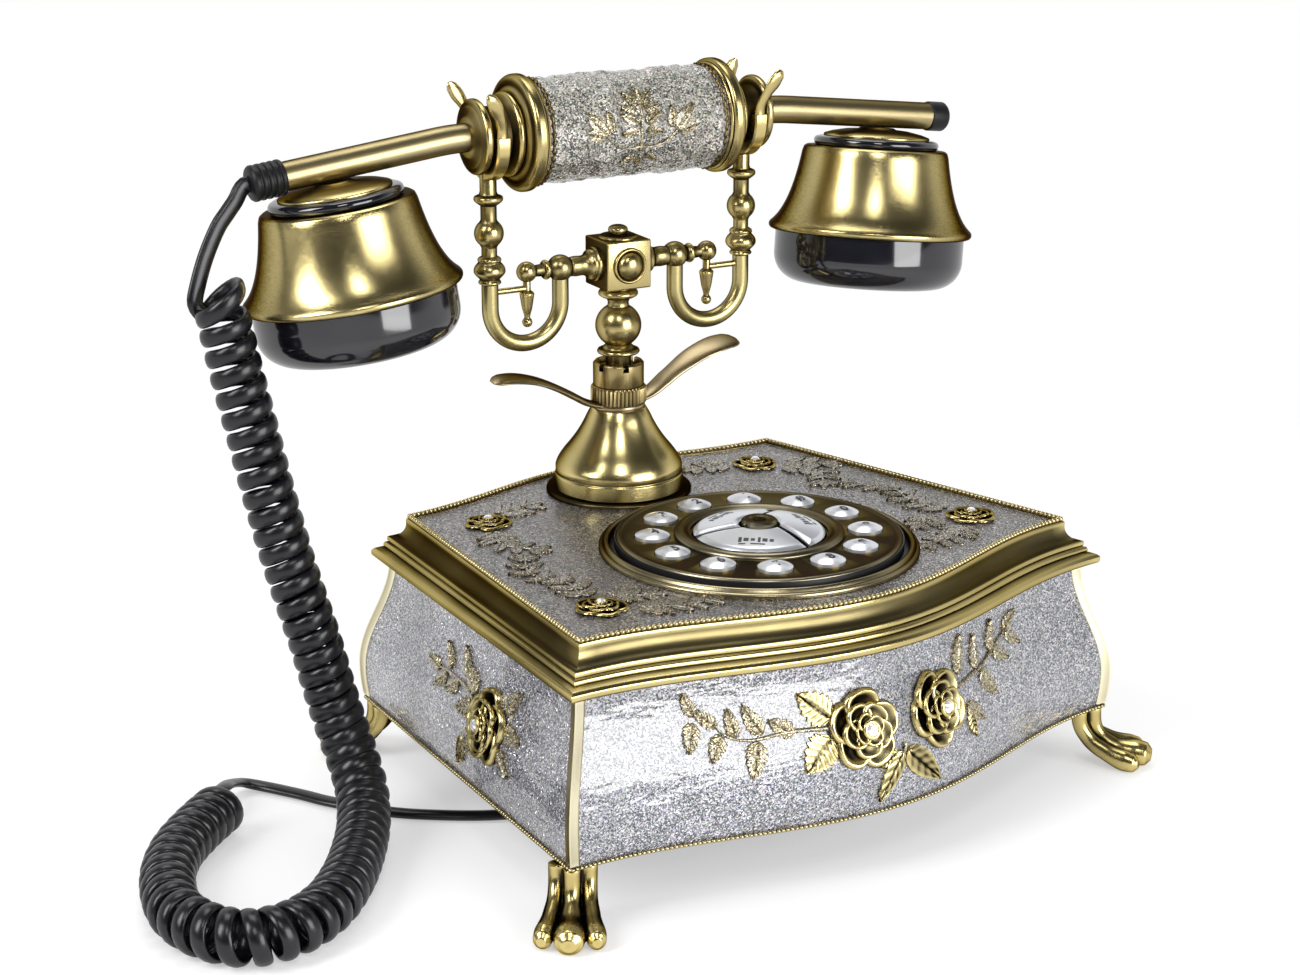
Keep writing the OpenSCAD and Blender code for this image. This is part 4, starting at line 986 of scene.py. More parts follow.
def makeBlades():
    # three keys shaped like propeller blades, with their edges rounded over
    outer, inner, gap = bladeReach, 6.3, 0.95
    for key, turn in (("a", 30), ("b", 150), ("c", 270)):

        def spot(u, v):
            away = inner + (outer - inner) * (u + 1) / 2
            start = asin(3 / away) + gap / away
            stop = asin(3 / away) + radians(120) - gap / away
            angle = start + (stop - start) * (v + 1) / 2
            edge = min(outer - away, away - inner, away * (angle - start), away * (stop - angle))
            fall = max(0, 1 - edge / 1.3) ** 2
            z = bladeTop(away ** 2) - 0.85 * fall
            angle += radians(turn)
            return away * cos(angle), away * sin(angle), z

        blade = gridSheet("blade_" + key, 22, 30, spot, 2.0)
        for vertex in blade.data.vertices:
            vertex.co = (vertex.co + Vector((0, dialY, 0))) * mm
        cleaned(blade, 45)
        finishPiece(blade, "function_key_" + key, keySilver, "function_key_" + key)


# ornaments: flat local shapes laid onto the curved faces


def across(spotOf, a, b, h):
    # a point h above a surface at (a, b)
    right = (spotOf(a + 0.5, b) - spotOf(a - 0.5, b)).normalized()
    up = (spotOf(a, b + 0.5) - spotOf(a, b - 0.5)).normalized()
    return spotOf(a, b) + right.cross(up) * h


def frontSpot(a, b):
    return Vector((a, frontY(a, wallOut(b)), b))


def leftSpot(a, b):
    return Vector((-sideX(-a, wallOut(b)), -a, b))


def lidSpot(a, b):
    return Vector((a, b, plan["top"]))


gripR = 16


def gripSpot(a, b):
    turn = b / gripR
    return handsetPlace @ Vector((a, -gripR * cos(turn), gripR * sin(turn)))


def laid(obj, spotOf, at, turn, size, sink=0.0):
    # local millimetres turned, sized and laid on a surface
    c, s = cos(radians(turn)), sin(radians(turn))
    for vertex in obj.data.vertices:
        x, y, z = vertex.co
        a = at[0] + size * (x * c - y * s)
        b = at[1] + size * (x * s + y * c)
        vertex.co = across(spotOf, a, b, size * z - sink) * mm
    return obj


def gridSheet(name, nx, ny, spot, thick, rounds=0):
    # unit grid whose vertices go to spot(u, v), thickened downwards
    obj = added("grid", name, x_subdivisions=nx, y_subdivisions=ny, size=2)
    for vertex in obj.data.vertices:
        vertex.co = Vector(spot(vertex.co.x, vertex.co.y))
    modify(obj, "SOLIDIFY", thickness=thick, offset=-1)
    if rounds:
        modify(obj, "SUBSURF", levels=rounds)
    return obj


def petal(name, radius, wide, low, high, wave, phase, fine):
    # a hollow petal with a thick rolled rim, its inner end at the origin and its tip along X
    def spot(u, v):
        x, y = u * sqrt(1 - v * v / 2), v * sqrt(1 - u * u / 2)
        away = min(1, hypot(x, y))
        angle = atan2(y, x)
        edge = 1 + wave * away * cos(3 * angle + phase)
        if away < 0.8:
            crest = (away / 0.8) ** 3
        else:
            crest = 1 - 1.15 * ((away - 0.8) / 0.2) ** 2
        height = low + (high - low) * (0.5 + 0.5 * x) + 0.34 * radius * crest
        return radius * (1 + x * edge), wide * y * edge, height + 0.06 * wide * y

    return gridSheet(name, fine, fine, spot, 0.07, 1)


def roseParts(fine=11):
    # unit rose: rings of overlapping petals round a collar
    rings = [(5, 0.02, 0.42, 0.47, 0.06, 0.13, 0), (5, -0.02, 0.31, 0.34, 0.2, 0.24, 34),
             (4, -0.02, 0.19, 0.22, 0.3, 0.33, 12)]
    parts = []
    for count, inner, radius, wide, low, high, shift in rings:
        for k in range(count):
            wave = 0.05 + 0.03 * sin(2.3 * k + shift)
            part = petal("petal", radius, wide, low + 0.012 * (k % 2), high, wave, 1.9 * k + shift, fine)
            turn = turned(360 * k / count + shift, "Z")
            part.data.transform(turn @ moved(inner, 0, 0))
            parts.append(part)
    parts.append(added("torus", "collar", major_segments=32, minor_segments=10, major_radius=0.155,
                       minor_radius=0.045, location=(0, 0, 0.4)))
    parts.append(added("cone", "core", vertices=24, radius1=0.3, radius2=0.15, depth=0.36,
                       location=(0, 0, 0.2)))
    return joined("rose", parts)


def leafShape(name, long, wide, teeth, depth, veins, curl, fine=(26, 12)):
    # serrated leaf along X with a folded midrib and side veins, in millimetres
    def spot(u, v):
        t = (u + 1) / 2
        half = wide / 2 * sin(pi * min(1, t ** 0.72)) ** 0.75 if 0 < t < 1 else 0
        half += 0.09 * wide * (1 - t)
        tooth = 1 + depth * abs(v) ** 3 * (((t * teeth) % 1) - 0.5)
        lift = 0.55 + 0.8 * (1 - abs(v) ** 2) * (1 - 0.6 * t) + curl * t * t + 0.35 * abs(v) ** 3
        lift -= 0.45 * exp(-(v / 0.11) ** 2)
        lift += 0.16 * cos(2 * pi * (t * veins - abs(v) * 1.1)) * min(1, abs(v) * 4)
        return long * t, half * v * tooth, lift

    return gridSheet(name, *fine, spot, 0.75)


def stemTube(name, points, start, end, lift=0.5):
    # round stem through points of (a, b), tapering from start to end
    def width(t):
        return start + (end - start) * t

    run = curve([(*p, lift) for p in points], 0.7)
    rings = ovalRings(run, carried(run, Vector((0, 0, 1))), width, width, 10)
    return loft(name, [[p / mm for p in ring] for ring in rings])


frontSpray = {
    # (x, z, length, width, turn, kind)
    "leaves": [(-22.5, 49, 11.4, 8.2, 138, "broad"), (-23.5, 43.5, 11.6, 8.8, 224, "broad"),
               (-34, 46.6, 7.5, 4.6, 148, "broad"), (-43, 47.4, 9.0, 4.6, 116, "broad"),
               (-44.5, 45.4, 10, 5.4, 252, "broad"), (-50.5, 47.5, 7.5, 3.8, 96, "broad"),
               (-54.5, 48.4, 7.5, 4.2, 240, "broad"), (-55.2, 51, 7.5, 3.6, 140, "broad"),
               (-61, 54.5, 6.5, 3.4, 110, "broad"), (-61.5, 52.5, 8.0, 4.4, 250, "broad"),
               (-0.5, 35.6, 15.5, 5.4, 238, "slender"), (1.5, 35.4, 17.5, 7.0, 318, "slender"),
               (-2.5, 35.8, 7, 3.4, 205, "slender"), (27, 50.5, 11, 4.4, 72, "broad"),
               (29, 41, 9, 4.2, -38, "broad"), (29.5, 38.5, 7, 3.2, -75, "slender"),
               (36, 49.5, 9.5, 4.2, 82, "broad"), (38, 48.2, 10.5, 4.6, -52, "broad"),
               (45, 52.2, 8.5, 3.8, 72, "broad"), (46.5, 51.8, 8.0, 3.8, -30, "broad"),
               (54, 55.3, 8.0, 3.4, 30, "broad"), (54.5, 54.6, 8.0, 3.4, -35, "broad")],
    "stems": [([(-24, 46.4), (-30, 46.9), (-37, 47), (-44.5, 46.2), (-50, 46.7), (-54, 49),
                (-55.5, 51.5)], 1.5, 0.6),
              ([(26, 47), (33, 48.3), (40, 49.6), (47, 52.4), (55, 55.2)], 1.3, 0.6),
              ([(1, 38), (0.5, 36), (-0.5, 34.5)], 1.5, 0.9)],
    "roses": [(-12.6, 44.3, 13.8, 12), (15.3, 44.2, 13.4, 47)],
}
sideSpray = {
    # (a, z, length, width, turn, kind), a running forwards along the wall
    "leaves": [(3, 47.5, 10.5, 5.5, 152, "broad"), (2, 42.5, 9.5, 5.0, 195, "broad"),
               (4, 35.5, 10, 5.5, 228, "broad"), (-5, 49.5, 8.5, 4.4, 120, "broad"),
               (-8.5, 46, 8.5, 4.2, 205, "broad"), (-15.5, 48.5, 8, 3.8, 130, "broad"),
               (-17, 46, 8, 3.8, 215, "broad"), (-22.5, 46.5, 7.5, 3.4, 172, "broad"),
               (-1, 33, 9, 4.6, 255, "slender"), (22, 49, 9.5, 4.8, 40, "broad"),
               (24, 43.5, 9.5, 4.8, -6, "broad"), (22, 37, 9, 4.6, -40, "broad")],
    "stems": [([(4, 44.5), (-3, 46.5), (-10, 47.2), (-17, 47.2), (-23, 46.6)], 1.3, 0.6)],
    "roses": [(13.6, 41.2, 13.2, 20)],
}


def spray(name, spotOf, settings, rose):
    # roses with their large leaves, and the small leaves as a second piece
    parts, sprigs = [], []
    for a, b, long, wide, turn, kind in settings["leaves"]:
        teeth = max(4, round(long * 0.55))
        shape = (teeth, 0.34, teeth, 0.5) if kind == "broad" else (3, 0.05, 5, 0.9)
        group = parts if long > 11 or kind == "slender" else sprigs
        group.append(laid(leafShape("leaf", long, wide, *shape), spotOf, (a, b), turn, 1, 0.35))
    for points, start, end in settings["stems"]:
        sprigs.append(laid(stemTube("stem", points, start, end, 0.45), spotOf, (0, 0), 0, 1))
    for a, b, size, turn in settings["roses"]:
        parts.append(laid(copied(rose, "rose_copy"), spotOf, (a, b), turn, size, 0.8))
    pieces = [joined(name + "_blooms", parts), joined(name + "_sprigs", sprigs)]
    for piece in pieces:
        cleaned(piece, 50)
        wearOf(piece, 1.3, 2)
    return pieces


def cutStone(name, radius, height):
    # round stone with a flat table and two rows of facets
    obj = added("cone", name, vertices=12, radius1=radius, radius2=radius * 0.55, depth=height,
                location=(0, 0, height / 2))
    for vertex in obj.data.vertices:
        if vertex.co.z > height * 0.4:
            turn = radians(15)
            x, y = vertex.co.x, vertex.co.y
            vertex.co.x = x * cos(turn) - y * sin(turn)
            vertex.co.y = x * sin(turn) + y * cos(turn)
    pick(obj)
    bpy.ops.object.transform_apply(location=True, rotation=True, scale=True)
    modify(obj, "TRIANGULATE")
    return obj


lidRoses = [(-70.1, -37.4, 9.6, 40), (70.9, -37, 9.6, 140), (-54.2, 45.5, 9.0, -40), (51, 46, 9.0, -140)]
lidVines = [
    # stem lines beside the roses; the leaves stand on both sides of each
    [(-61, -44), (-53, -48), (-43, -50)], [(-69, -26), (-66, -14), (-70, -2), (-65, 9)],
    [(-62, -31), (-54, -36)], [(-46, 51), (-36, 52)], [(-58, 36), (-62, 26), (-57, 17)],
    [(62, -44), (53, -49), (43, -50)], [(69, -26), (66, -14), (70, -2), (64, 9)], [(61, -31), (53, -34)],
    [(43, 52), (33, 53)], [(57, 38), (63, 28), (57, 18)], [(61, 42), (70, 33)],
]


def leavesAlong(line, gap, long, wide):
    # pairs of leaves standing off a line, and one at its tip
    run = curve([(*p, 0) for p in line], gap)
    places = []
    for k, (spot, way) in enumerate(zip(run, directions(run))):
        turn = degrees(atan2(way.y, way.x))
        size = 1 - 0.3 * k / len(run)
        for side in (-1, 1):
            places.append((spot.x, spot.y, long * size, wide * size, turn + side * (48 + 9 * (k % 2))))
    places.append((run[-1].x, run[-1].y, 0.8 * long, 0.8 * wide, turn))
    return places


lidSprays = [leaf for line in lidVines for leaf in leavesAlong(line, 5.2, 8.2, 4.0)]
lidStems = [(line, 1.1, 0.8) for line in lidVines]


def withTwins(rows):
    # each leaf (along, round, length, width, turn) off the middle gets its mirror image
    out = []
    for a, *rest, turn in rows:
        out += [(a, *rest, turn), (-a, *rest, 180 - turn)] if a else [(a, *rest, turn)]
    return out


gripSprays = withTwins([
    (0, 6.5, 6.5, 3.2, 90), (0.8, 6.6, 6.0, 3.0, 50), (1.4, 5.2, 5.2, 2.6, 12), (1.4, 1.2, 6.4, 3.2, 30),
    (1.6, -1.2, 5.4, 2.8, -8), (-11.8, -1.8, 10, 4.6, 132), (-12.4, -2.2, 7.5, 3.4, 168),
    (-10.2, -0.8, 6.5, 3.0, 98), (0, -9, 5, 2.0, 270), (-2, -8.5, 5, 2.0, 215),
])
gripStems = [([(0, 8), (0.2, 3), (-0.2, -2), (0, -8)], 1.1, 0.8)]
gripStems += [([(0, -6), (4 * s, -6.4), (8.5 * s, -5), (12 * s, -2)], 0.9, 0.7) for s in (-1, 1)]


def mirrored(obj):
    # a copy on the other side of the telephone
    other = copied(obj, obj.name + "_mirrored")
    other.data.transform(Matrix.Diagonal((-1, 1, 1, 1)))
    facesOut(other)
    return other


def flatLeaves(name, spotOf, places, lift, stems=()):
    # small leaves and their stems as one thin piece
    parts = []
    for points, start, end in stems:
        parts.append(laid(stemTube("stem", points, start, end, 0.3), spotOf, (0, 0), 0, 1))
    for a, b, long, wide, turn in places:
        leaf = leafShape("sprig", long, wide, 4, 0.2, 5, 0.1, (16, 8))
        for vertex in leaf.data.vertices:
            vertex.co.z *= lift
        parts.append(laid(leaf, spotOf, (a, b), turn, 1, 0.25))
    piece = joined(name, parts)
    cleaned(piece, 50)
    wearOf(piece, 1.6, 1)
    return piece


def makeOrnaments():
    rose = roseParts()
    front, frontLeaves = spray("front", frontSpot, frontSpray, rose)
    finishPiece(front, "base", ornamentBrass, "front_ornament")
    finishPiece(frontLeaves, "base", sprigGlitter)
    left, leftLeaves = spray("left", leftSpot, sideSpray, rose)
    sides = joined("side_blooms", [left, mirrored(left)])
    finishPiece(sides, "base", ornamentBrass, "side_ornaments")
    sideLeaves = joined("side_sprigs", [leftLeaves, mirrored(leftLeaves)])
    finishPiece(sideLeaves, "base", sprigGlitter)
    small = roseParts(8)
    parts = []
    for a, b, size, turn in lidRoses:
        bloom = copied(small, "small_bloom")
        for vertex in bloom.data.vertices:
            vertex.co.z = max(0.02, vertex.co.z * 0.6)
        parts.append(laid(bloom, lidSpot, (a, b), turn, size, 0))
    blooms = joined("lid_blooms", parts)
    cleaned(blooms, 50)
    finishPiece(blooms, "base", lidOrnament, "lid_roses", wear_and_shade=(1.4, 1))
    for spare in (rose, small):
        bpy.data.objects.remove(spare)
    lidLeaves = flatLeaves("lid_sprigs", lidSpot, lidSprays, 0.9, lidStems)
    finishPiece(lidLeaves, "base", gildedGlitter)
    gripLeaves = flatLeaves("grip_sprigs", gripSpot, gripSprays, 1.0, gripStems)
    finishPiece(gripLeaves, "handset", sprigGlitter)
    stones = []
    for spotOf, roses, radius, seat in ((frontSpot, frontSpray["roses"], 1.85, 0.365),
                                        (leftSpot, sideSpray["roses"], 1.8, 0.35),
                                        (lidSpot, lidRoses, 1.7, 0.22)):
        for a, b, size, turn in roses:
            stone = laid(cutStone("stone", radius, 0.9), spotOf, (a, b), 0, 1, -seat * size)
            stones += [stone, mirrored(stone)] if spotOf is leftSpot else [stone]
    gems = joined("rose_stones", stones)
    facesOut(gems)
    finishPiece(gems, "base", stoneGlass, "stones")


# feet, finger lever and cradle posts


foot = {
    "middle": [(-2.5, 0, 17.9), (-2.3, 0, 14), (-1.5, 0, 11), (0.5, 0, 8.2), (4, 0, 6.0), (8, 0, 4.8),
               (12, 0, 4.3), (15.0, 0, 4.1), (16.6, 0, 4.0)],
    "side": [(-6.2, 4.6, 17.9), (-5.8, 4.6, 14), (-4.4, 4.7, 11), (-1.6, 5.0, 8), (2.6, 5.7, 5.8),
             (6.5, 6.5, 4.4), (10, 7.2, 3.7), (12.2, 7.5, 3.5), (13.4, 7.7, 3.5)],
    "middleWide": [(0, 4.8), (0.3, 4.6), (0.55, 6.4), (0.82, 8.9), (0.93, 8.2), (1, 4.0)],
    "middleHigh": [(0, 5.4), (0.3, 5.2), (0.55, 6.0), (0.82, 8.0), (0.93, 7.4), (1, 3.6)],
    "sideWide": [(0, 4.6), (0.3, 4.4), (0.55, 5.0), (0.8, 6.0), (0.92, 5.4), (1, 2.6)],
    "sideHigh": [(0, 5.0), (0.3, 4.8), (0.55, 5.4), (0.8, 6.6), (0.92, 5.8), (1, 2.8)],
}


def along(table):
    # value read between (place, value) pairs
    def at(t):
        for (a, x), (b, y) in zip(table, table[1:]):
            if t <= b:
                part = (t - a) / (b - a)
                return x + (y - x) * part * part * (3 - 2 * part)
        return table[-1][1]
    return at


def makeFoot(name, node, place):
    # three fluted ridges that run down the leg and swell into toes
    parts = []
    for side in (-1, 0, 1):
        kind = "side" if side else "middle"
        run = curve([(x, y * (side or 1), z) for x, y, z in foot[kind]], 0.8)
        rings = ovalRings(run, [Vector((0, 1, 0))] * len(run), along(foot[kind + "Wide"]),
                          along(foot[kind + "High"]), 20)
        for ring in rings:
            for p in ring:
                p.z = max(0.0, p.z)
        parts.append(loft("toe", rings, 60))
    web = curve([(-5.2, 0, 17.9), (-5, 0, 13), (-3.6, 0, 9.5), (0, 0, 6.4), (4, 0, 4), (7, 0, 3)], 0.8)
    parts.append(ovalTube("web", web, along([(0, 11.5), (0.5, 11.5), (1, 9)]),
                          along([(0, 3.6), (1, 3.2)]), 20, 60))
    claw = joined(name, parts)
    pick(claw)
    claw.data.remesh_voxel_size = 0.4 * mm
    bpy.ops.object.voxel_remesh()
    modify(claw, "SMOOTH", factor=0.5, iterations=3)
    lowest, top = min(v.co.z for v in claw.data.vertices), 17.9 * mm
    for vertex in claw.data.vertices:
        vertex.co.z = min(top, top * (vertex.co.z - lowest) / (top - lowest))
    cleaned(claw, 60)
    wearOf(claw, 2.4, 4)
    # dark above the toes, worn bright at their tips
    shiftWearAndShade(claw, lambda p: 0.4 * min(1, max(0, (p.x - 0.008) / 0.005))
            - 0.5 * exp(-((p.z - 0.0075) / 0.0032) ** 2) * min(1, max(0, 1.2 - p.x / 0.009)))
    finishPiece(claw, "base", footBrass, node, place=place)


def makeFeet():
    for end, away, y, turns in (("front", 101.4, -67.15, (232, 308)), ("back", 81.4, 75.65, (128, 52))):
        for side, x, turn in zip(("left", "right"), (-away, away), turns):
            name = end + "_" + side
            makeFoot("claw_" + name, "foot_" + name, moved(x, y, 0) @ turned(turn, "Z"))


def makeWings():
    run = curve([(5, 0, 0.8), (9, 0, 1.7), (13, 0, 3.2), (18, 0, 6.2), (24, 0, 9.6), (30, 0, 12.4),
                 (36, 0, 14.2), (42, 0, 15), (46.6, 0, 14.6)], 1.0)
    wide = along([(0, 6.6), (0.15, 6.4), (0.35, 6.6), (0.6, 8.2), (0.8, 8.8), (0.9, 8.2), (0.96, 6.8),
                  (1, 3.6)])
    thick = along([(0, 2.0), (0.2, 2.2), (0.7, 1.9), (0.95, 1.6), (1, 0.7)])
    parts = []
    for side in (1, -1):
        line = [Vector((p.x * side, p.y, p.z)) for p in run]
        # the blades lean over towards the front
        leans = [radians(20 if side > 0 else 9) * min(1, k / 14) for k in range(len(line))]
        parts.append(loft("wing", ovalRings(line, [Vector((0, cos(a), sin(a))) for a in leans], wide,
                                            thick, 24), 60))
    parts.append(lathe("wing_ring", [(4.6, 0), (8.4, 0), (8.4, 1.2), (4.6, 1.2)], 64, 0.2))
    wings = joined("finger_lever", parts)
    finishPiece(wings, "base", wingBrass, "stand_wings", wear_and_shade=(1, 1),
                place=moved(0, standY, 106.7) @ turned(-1.6, "Z"))


def makePost(end, side):
    low = 151.0
    ball = arc(0, 16, 4.55, 4.5, -50, 51, 5)
    profile = ([(0, 0), (2.6, 0)] + curve([(3.4, 0.4), (3.55, 0.85), (3.0, 1.7)], 0.3)
               + curve([(3.3, 2.0), (4.6, 3.4), (4.9, 4.4), (4.6, 5.6), (3.5, 7.0)], 0.4)
               + curve([(3.45, 7.2), (3.7, 7.8), (3.4, 8.4)], 0.2) + [(2.4, 9), (2.4, 11.6)]
               + ball + [(2.5, 20.3), (2.5, 24.6)]
               + curve([(3.4, 25.2), (4.4, 26.1), (4.5, 26.8), (4.3, 27.4), (2.9, 28)], 0.3)
               + [(2.6, 29), (2.6, axisZ - low - 10), (0, axisZ - low - 10)])
    parts = [placed(lathe("post", profile, 56, 0.12), moved(postX, 0, low))]
    # open ring that carries the neck, thicker below
    rings = []
    for i in range(41):
        a = radians(4 - 188 * i / 40)
        outer = 12.4 + 1.1 * max(0, -sin(a))
        way = Vector((0, cos(a), sin(a)))
        square = [(-2.0, 9.2), (2.0, 9.2), (2.2, 9.5), (2.2, outer - 0.5), (1.7, outer), (-1.7, outer),
                  (-2.2, outer - 0.5), (-2.2, 9.5)]
        rings.append([way * r + Vector((x, 0, 0)) for x, r in square])
    parts.append(placed(loft("fork", rings, 40), moved(postX, 0, axisZ)))
    for s in (-1, 1):
        run = curve([(0, s * 10.7, -0.5), (0.2, s * 11.2, 3.4), (1.4, s * 12.5, 7.0),
                     (3.2, s * 13.6, 10.4), (5.0, s * 14.1, 13.2), (5.9, s * 14.0, 14.6)], 0.7)
        # each prong is a leaf with a raised rib
        prong = ovalTube("prong", run,
                         along([(0, 3.9), (0.25, 3.5), (0.5, 3.6), (0.75, 4.6), (0.92, 3.8), (1, 1.4)]),
                         along([(0, 2.6), (0.25, 2.1), (0.6, 1.7), (0.92, 1.6), (1, 0.8)]), 18, 60,
                         (1, 0, 0))
        parts.append(placed(prong, moved(postX, 0, axisZ)))
    whole = joined("post_" + end, parts)
    placed(whole, cradlePlace @ (otherSide if side < 0 else Matrix()))
    facesOut(whole)
    finishPiece(whole, "cradle", brass, "cradle_post_" + end, wear_and_shade=(1, 1))


def makePosts():
    makePost("right", 1)
    makePost("left", -1)


def makeCradle():
    # hub with its bosses
    half = 7.7
    block = added("cube", "block", size=2 * half * mm)
    modify(block, "BEVEL", width=0.55 * mm, segments=3)
    smooth(block, 40)
    parts = [block]
    boss = ([(0, 7.2), (5.7, 7.2), (5.7, 8.2)] + curve([(5.5, 8.6), (5.1, 8.75), (4.7, 8.5)], 0.2)
            + [(4.5, 8.0)] + arc(0, 7.9, 4.3, 3.0, 0, 91, 9))
    for turn in (-90, 90):
        parts.append(placed(lathe("boss", boss, 56, 0.1), turned(turn, "X")))
    parts.append(lathe("cap", [(0, 7.2), (6.2, 7.2), (6.2, 8.1)]
                       + curve([(5.6, 8.5), (3.6, 8.7), (2.6, 8.9)], 0.4)
                       + curve([(2.9, 9.2), (3.1, 10), (2.9, 10.8), (2.0, 11.4), (0.9, 11.65)], 0.3)
                       + [(0, 11.7)], 56, 0.1))
    hub = joined("hub_block", parts)
    placed(hub, cradlePlace @ moved(0, 0, armZ))
    wearOf(hub, 0.7, 1)
    # painted shade: the block's left and top faces are darkened
    inHub = (cradlePlace @ moved(0, 0, armZ)).inverted()
    shiftWearAndShade(hub, lambda p: -0.5 if (inHub @ (p / mm)).x < 0.1 - half else
            -0.25 if abs((inHub @ (p / mm)).z - half) < 0.1 else 0)
    finishPiece(hub, "cradle", endBrass, "cradle_hub")
    # arms with their pendants, and the tube hooks
    end = 31.85
    arm = lathe("arm", [(0, half), (5.4, half), (5.4, 8.9)]
                + curve([(4.9, 9.3), (4.6, 10.5), (3.5, 11.6), (3.1, 13), (3.2, 15), (3.0, 16.8)], 0.4)
                + arc(0, 20.3, 4.2, 4.2, -48, 50, 6)
                + curve([(2.3, 24.2), (2.9, 24.8), (3.1, 25.5), (2.8, 26.1), (2.0, 26.5)], 0.3)
                + [(1.8, 28.8)] + arc(0, end, 3.2, 3.2, -54, 90, 6) + [(0, end + 3.2)], 56, 0.1)
    placed(arm, alongX)
    drop = lathe("pendant", [(0, -17.5)] + arc(0, -15.9, 1.6, 1.6, -84, 55, 6)
                 + curve([(0.9, -14.2), (1.1, -13.2), (1.6, -11.4), (2.2, -7.6), (2.3, -6.8),
                          (1.9, -6.3), (1.2, -5.8)], 0.4) + [(1.2, -2.4), (0, -2.4)], 40, 0.1)
    placed(drop, moved(end, 0, 0))
    stay = ovalTube("stay", [Vector((end + 12.55 * i / 4, 0, -5.2)) for i in range(5)], 1.9, 1.9, 20)
    side = joined("arm", [arm, drop, stay])
    arms = pair("arm_turnings", side, moved(0, 0, armZ), cradlePlace)
    finishPiece(arms, "cradle", endBrass, "cradle_arms", wear_and_shade=(0.9, 1))
    mid, bend = 32.35, 12.05
    run = [Vector((20.3, 0, -2 - 8.4 * i / 4)) for i in range(4)]
    run += [Vector((mid - bend * cos(pi * i / 36), 0, -10.4 - bend * sin(pi * i / 36)))
            for i in range(37)]
    run += [Vector((postX, 0, -10.4 + 7.8 * i / 4)) for i in range(1, 5)]
    hook = ovalTube("hook", run, 5.2, 5.2, 28)
    hooks = pair("hook_tubes", hook, moved(0, 0, armZ), cradlePlace)
    finishPiece(hooks, "cradle", hookBrass, "cradle_hooks")


def makeCollars():
    # knurled nut under a slotted sleeve
    shape = eased([(4.05, 0), (8.3, 0), (8.9, 0.6), (8.9, 5.2), (8.3, 5.8), (7.9, 6.0), (8.1, 6.4),
                   (8.1, 13), (7.6, 13.6), (6.5, 13.6), (6.3, 12.2), (4.05, 12.2)], 0.12)

    def spot(i, j):
        a = 2 * pi * i / 240
        r = shape[j].x - (0.5 * (0.5 - 0.5 * cos(40 * a)) if shape[j].x > 8.5 else 0)
        return r * cos(a), r * sin(a), shape[j].y

    nut = ringed("knurled_nut", 240, len(shape), spot, 35)
    cutters = []
    for i in range(6):
        slit = added("cube", "slit", size=1)
        for vertex in slit.data.vertices:
            x, y, z = vertex.co
            vertex.co = Vector((7.6 + 4 * x, 1.9 * y, 13 + 3.2 * z)) * mm
        cutters.append(placed(slit, turned(60 * i + 20, "Z")))
    cutAway(nut, cutters, 35)
    finishPiece(nut, "base", knurlBrass, "stand_collars", wear_and_shade=(0.8, 0),
                place=moved(0, standY, 107.9) @ turned(-7.7, "Z"))


# grip cover, key marks


def makeGrip():
    # sleeve with a softly embossed surface
    half, turns, steps = 30.9, 150, 78

    def spot(i, j):
        a = 2 * pi * i / turns
        if j <= steps:
            x = -half + 2 * half * j / steps
            lump = noise.noise(Vector((x * 0.16, 2.6 * cos(a), 2.6 * sin(a))))
            fine = noise.noise(Vector((x * 0.4, 6.4 * cos(a), 6.4 * sin(a))))
            edge = min(1, (half - abs(x)) / 3)
            r = 15.8 + edge * (1.3 * max(0, lump) + 0.8 * max(0, fine))
        else:
            x, r = (half, 13) if j == steps + 1 else (-half, 13)
        return x, -r * cos(a), r * sin(a)

    cover = ringed("grip_cover", turns, steps + 3, spot, 40)
    placed(cover, handsetPlace)
    facesOut(cover)
    finishPiece(cover, "handset", gripGlitter, "grip_sleeve")
    # dotted dark rings beside the end discs
    parts = []
    for x in (-29.6, 29.6):
        def dotted(i, j, x=x):
            a, b = 2 * pi * i / 200, 2 * pi * j / 8
            r = 0.75 * (0.75 + 0.3 * cos(40 * a))
            away = gripR + r * cos(b)
            return x + r * sin(b), away * cos(a), away * sin(a)

        parts.append(ringed("dots", 200, 8, dotted, 60))
    rings = joined("grip_dot_rings", parts)
    placed(rings, handsetPlace)
    facesOut(rings)
    finishPiece(rings, "handset", darkBrass)


def makeKeyMarks():
    # each key's number near its front edge
    names = ["0", "hash", "1", "2", "3", "4", "5", "6", "7", "8", "9", "star"]
    for i, key in enumerate(names):
        a = radians(30 * i)
        deselect()
        bpy.ops.object.text_add(location=(0, 0, 0))
        mark = bpy.context.object
        mark.data.body = {"hash": "#", "star": "*"}.get(key, key)
        mark.data.size = 4.4 * mm
        mark.data.offset = 0.16 * mm
        mark.data.align_x = "CENTER"
        mark.data.align_y = "CENTER"
        mark.data.extrude = 0.12 * mm
        bpy.ops.object.convert(target="MESH")
        mark = newest("number_" + key)
        dome = (5.2 * 5.2 + 1.5 * 1.5) / 3
        for vertex in mark.data.vertices:
            x, y = vertex.co.x / mm, vertex.co.y / mm - 1.2
            lift = 0.08 if vertex.co.z > 0 else -0.1
            z = 83.4 + 2 - dome + sqrt(max(0, dome * dome - x * x - y * y)) + lift
            vertex.co = Vector((keyRing * cos(a) + x, dialY + keyRing * sin(a) + y, z)) * mm
        facesOut(mark)
        finishPiece(mark, "key_" + key, keyInk)


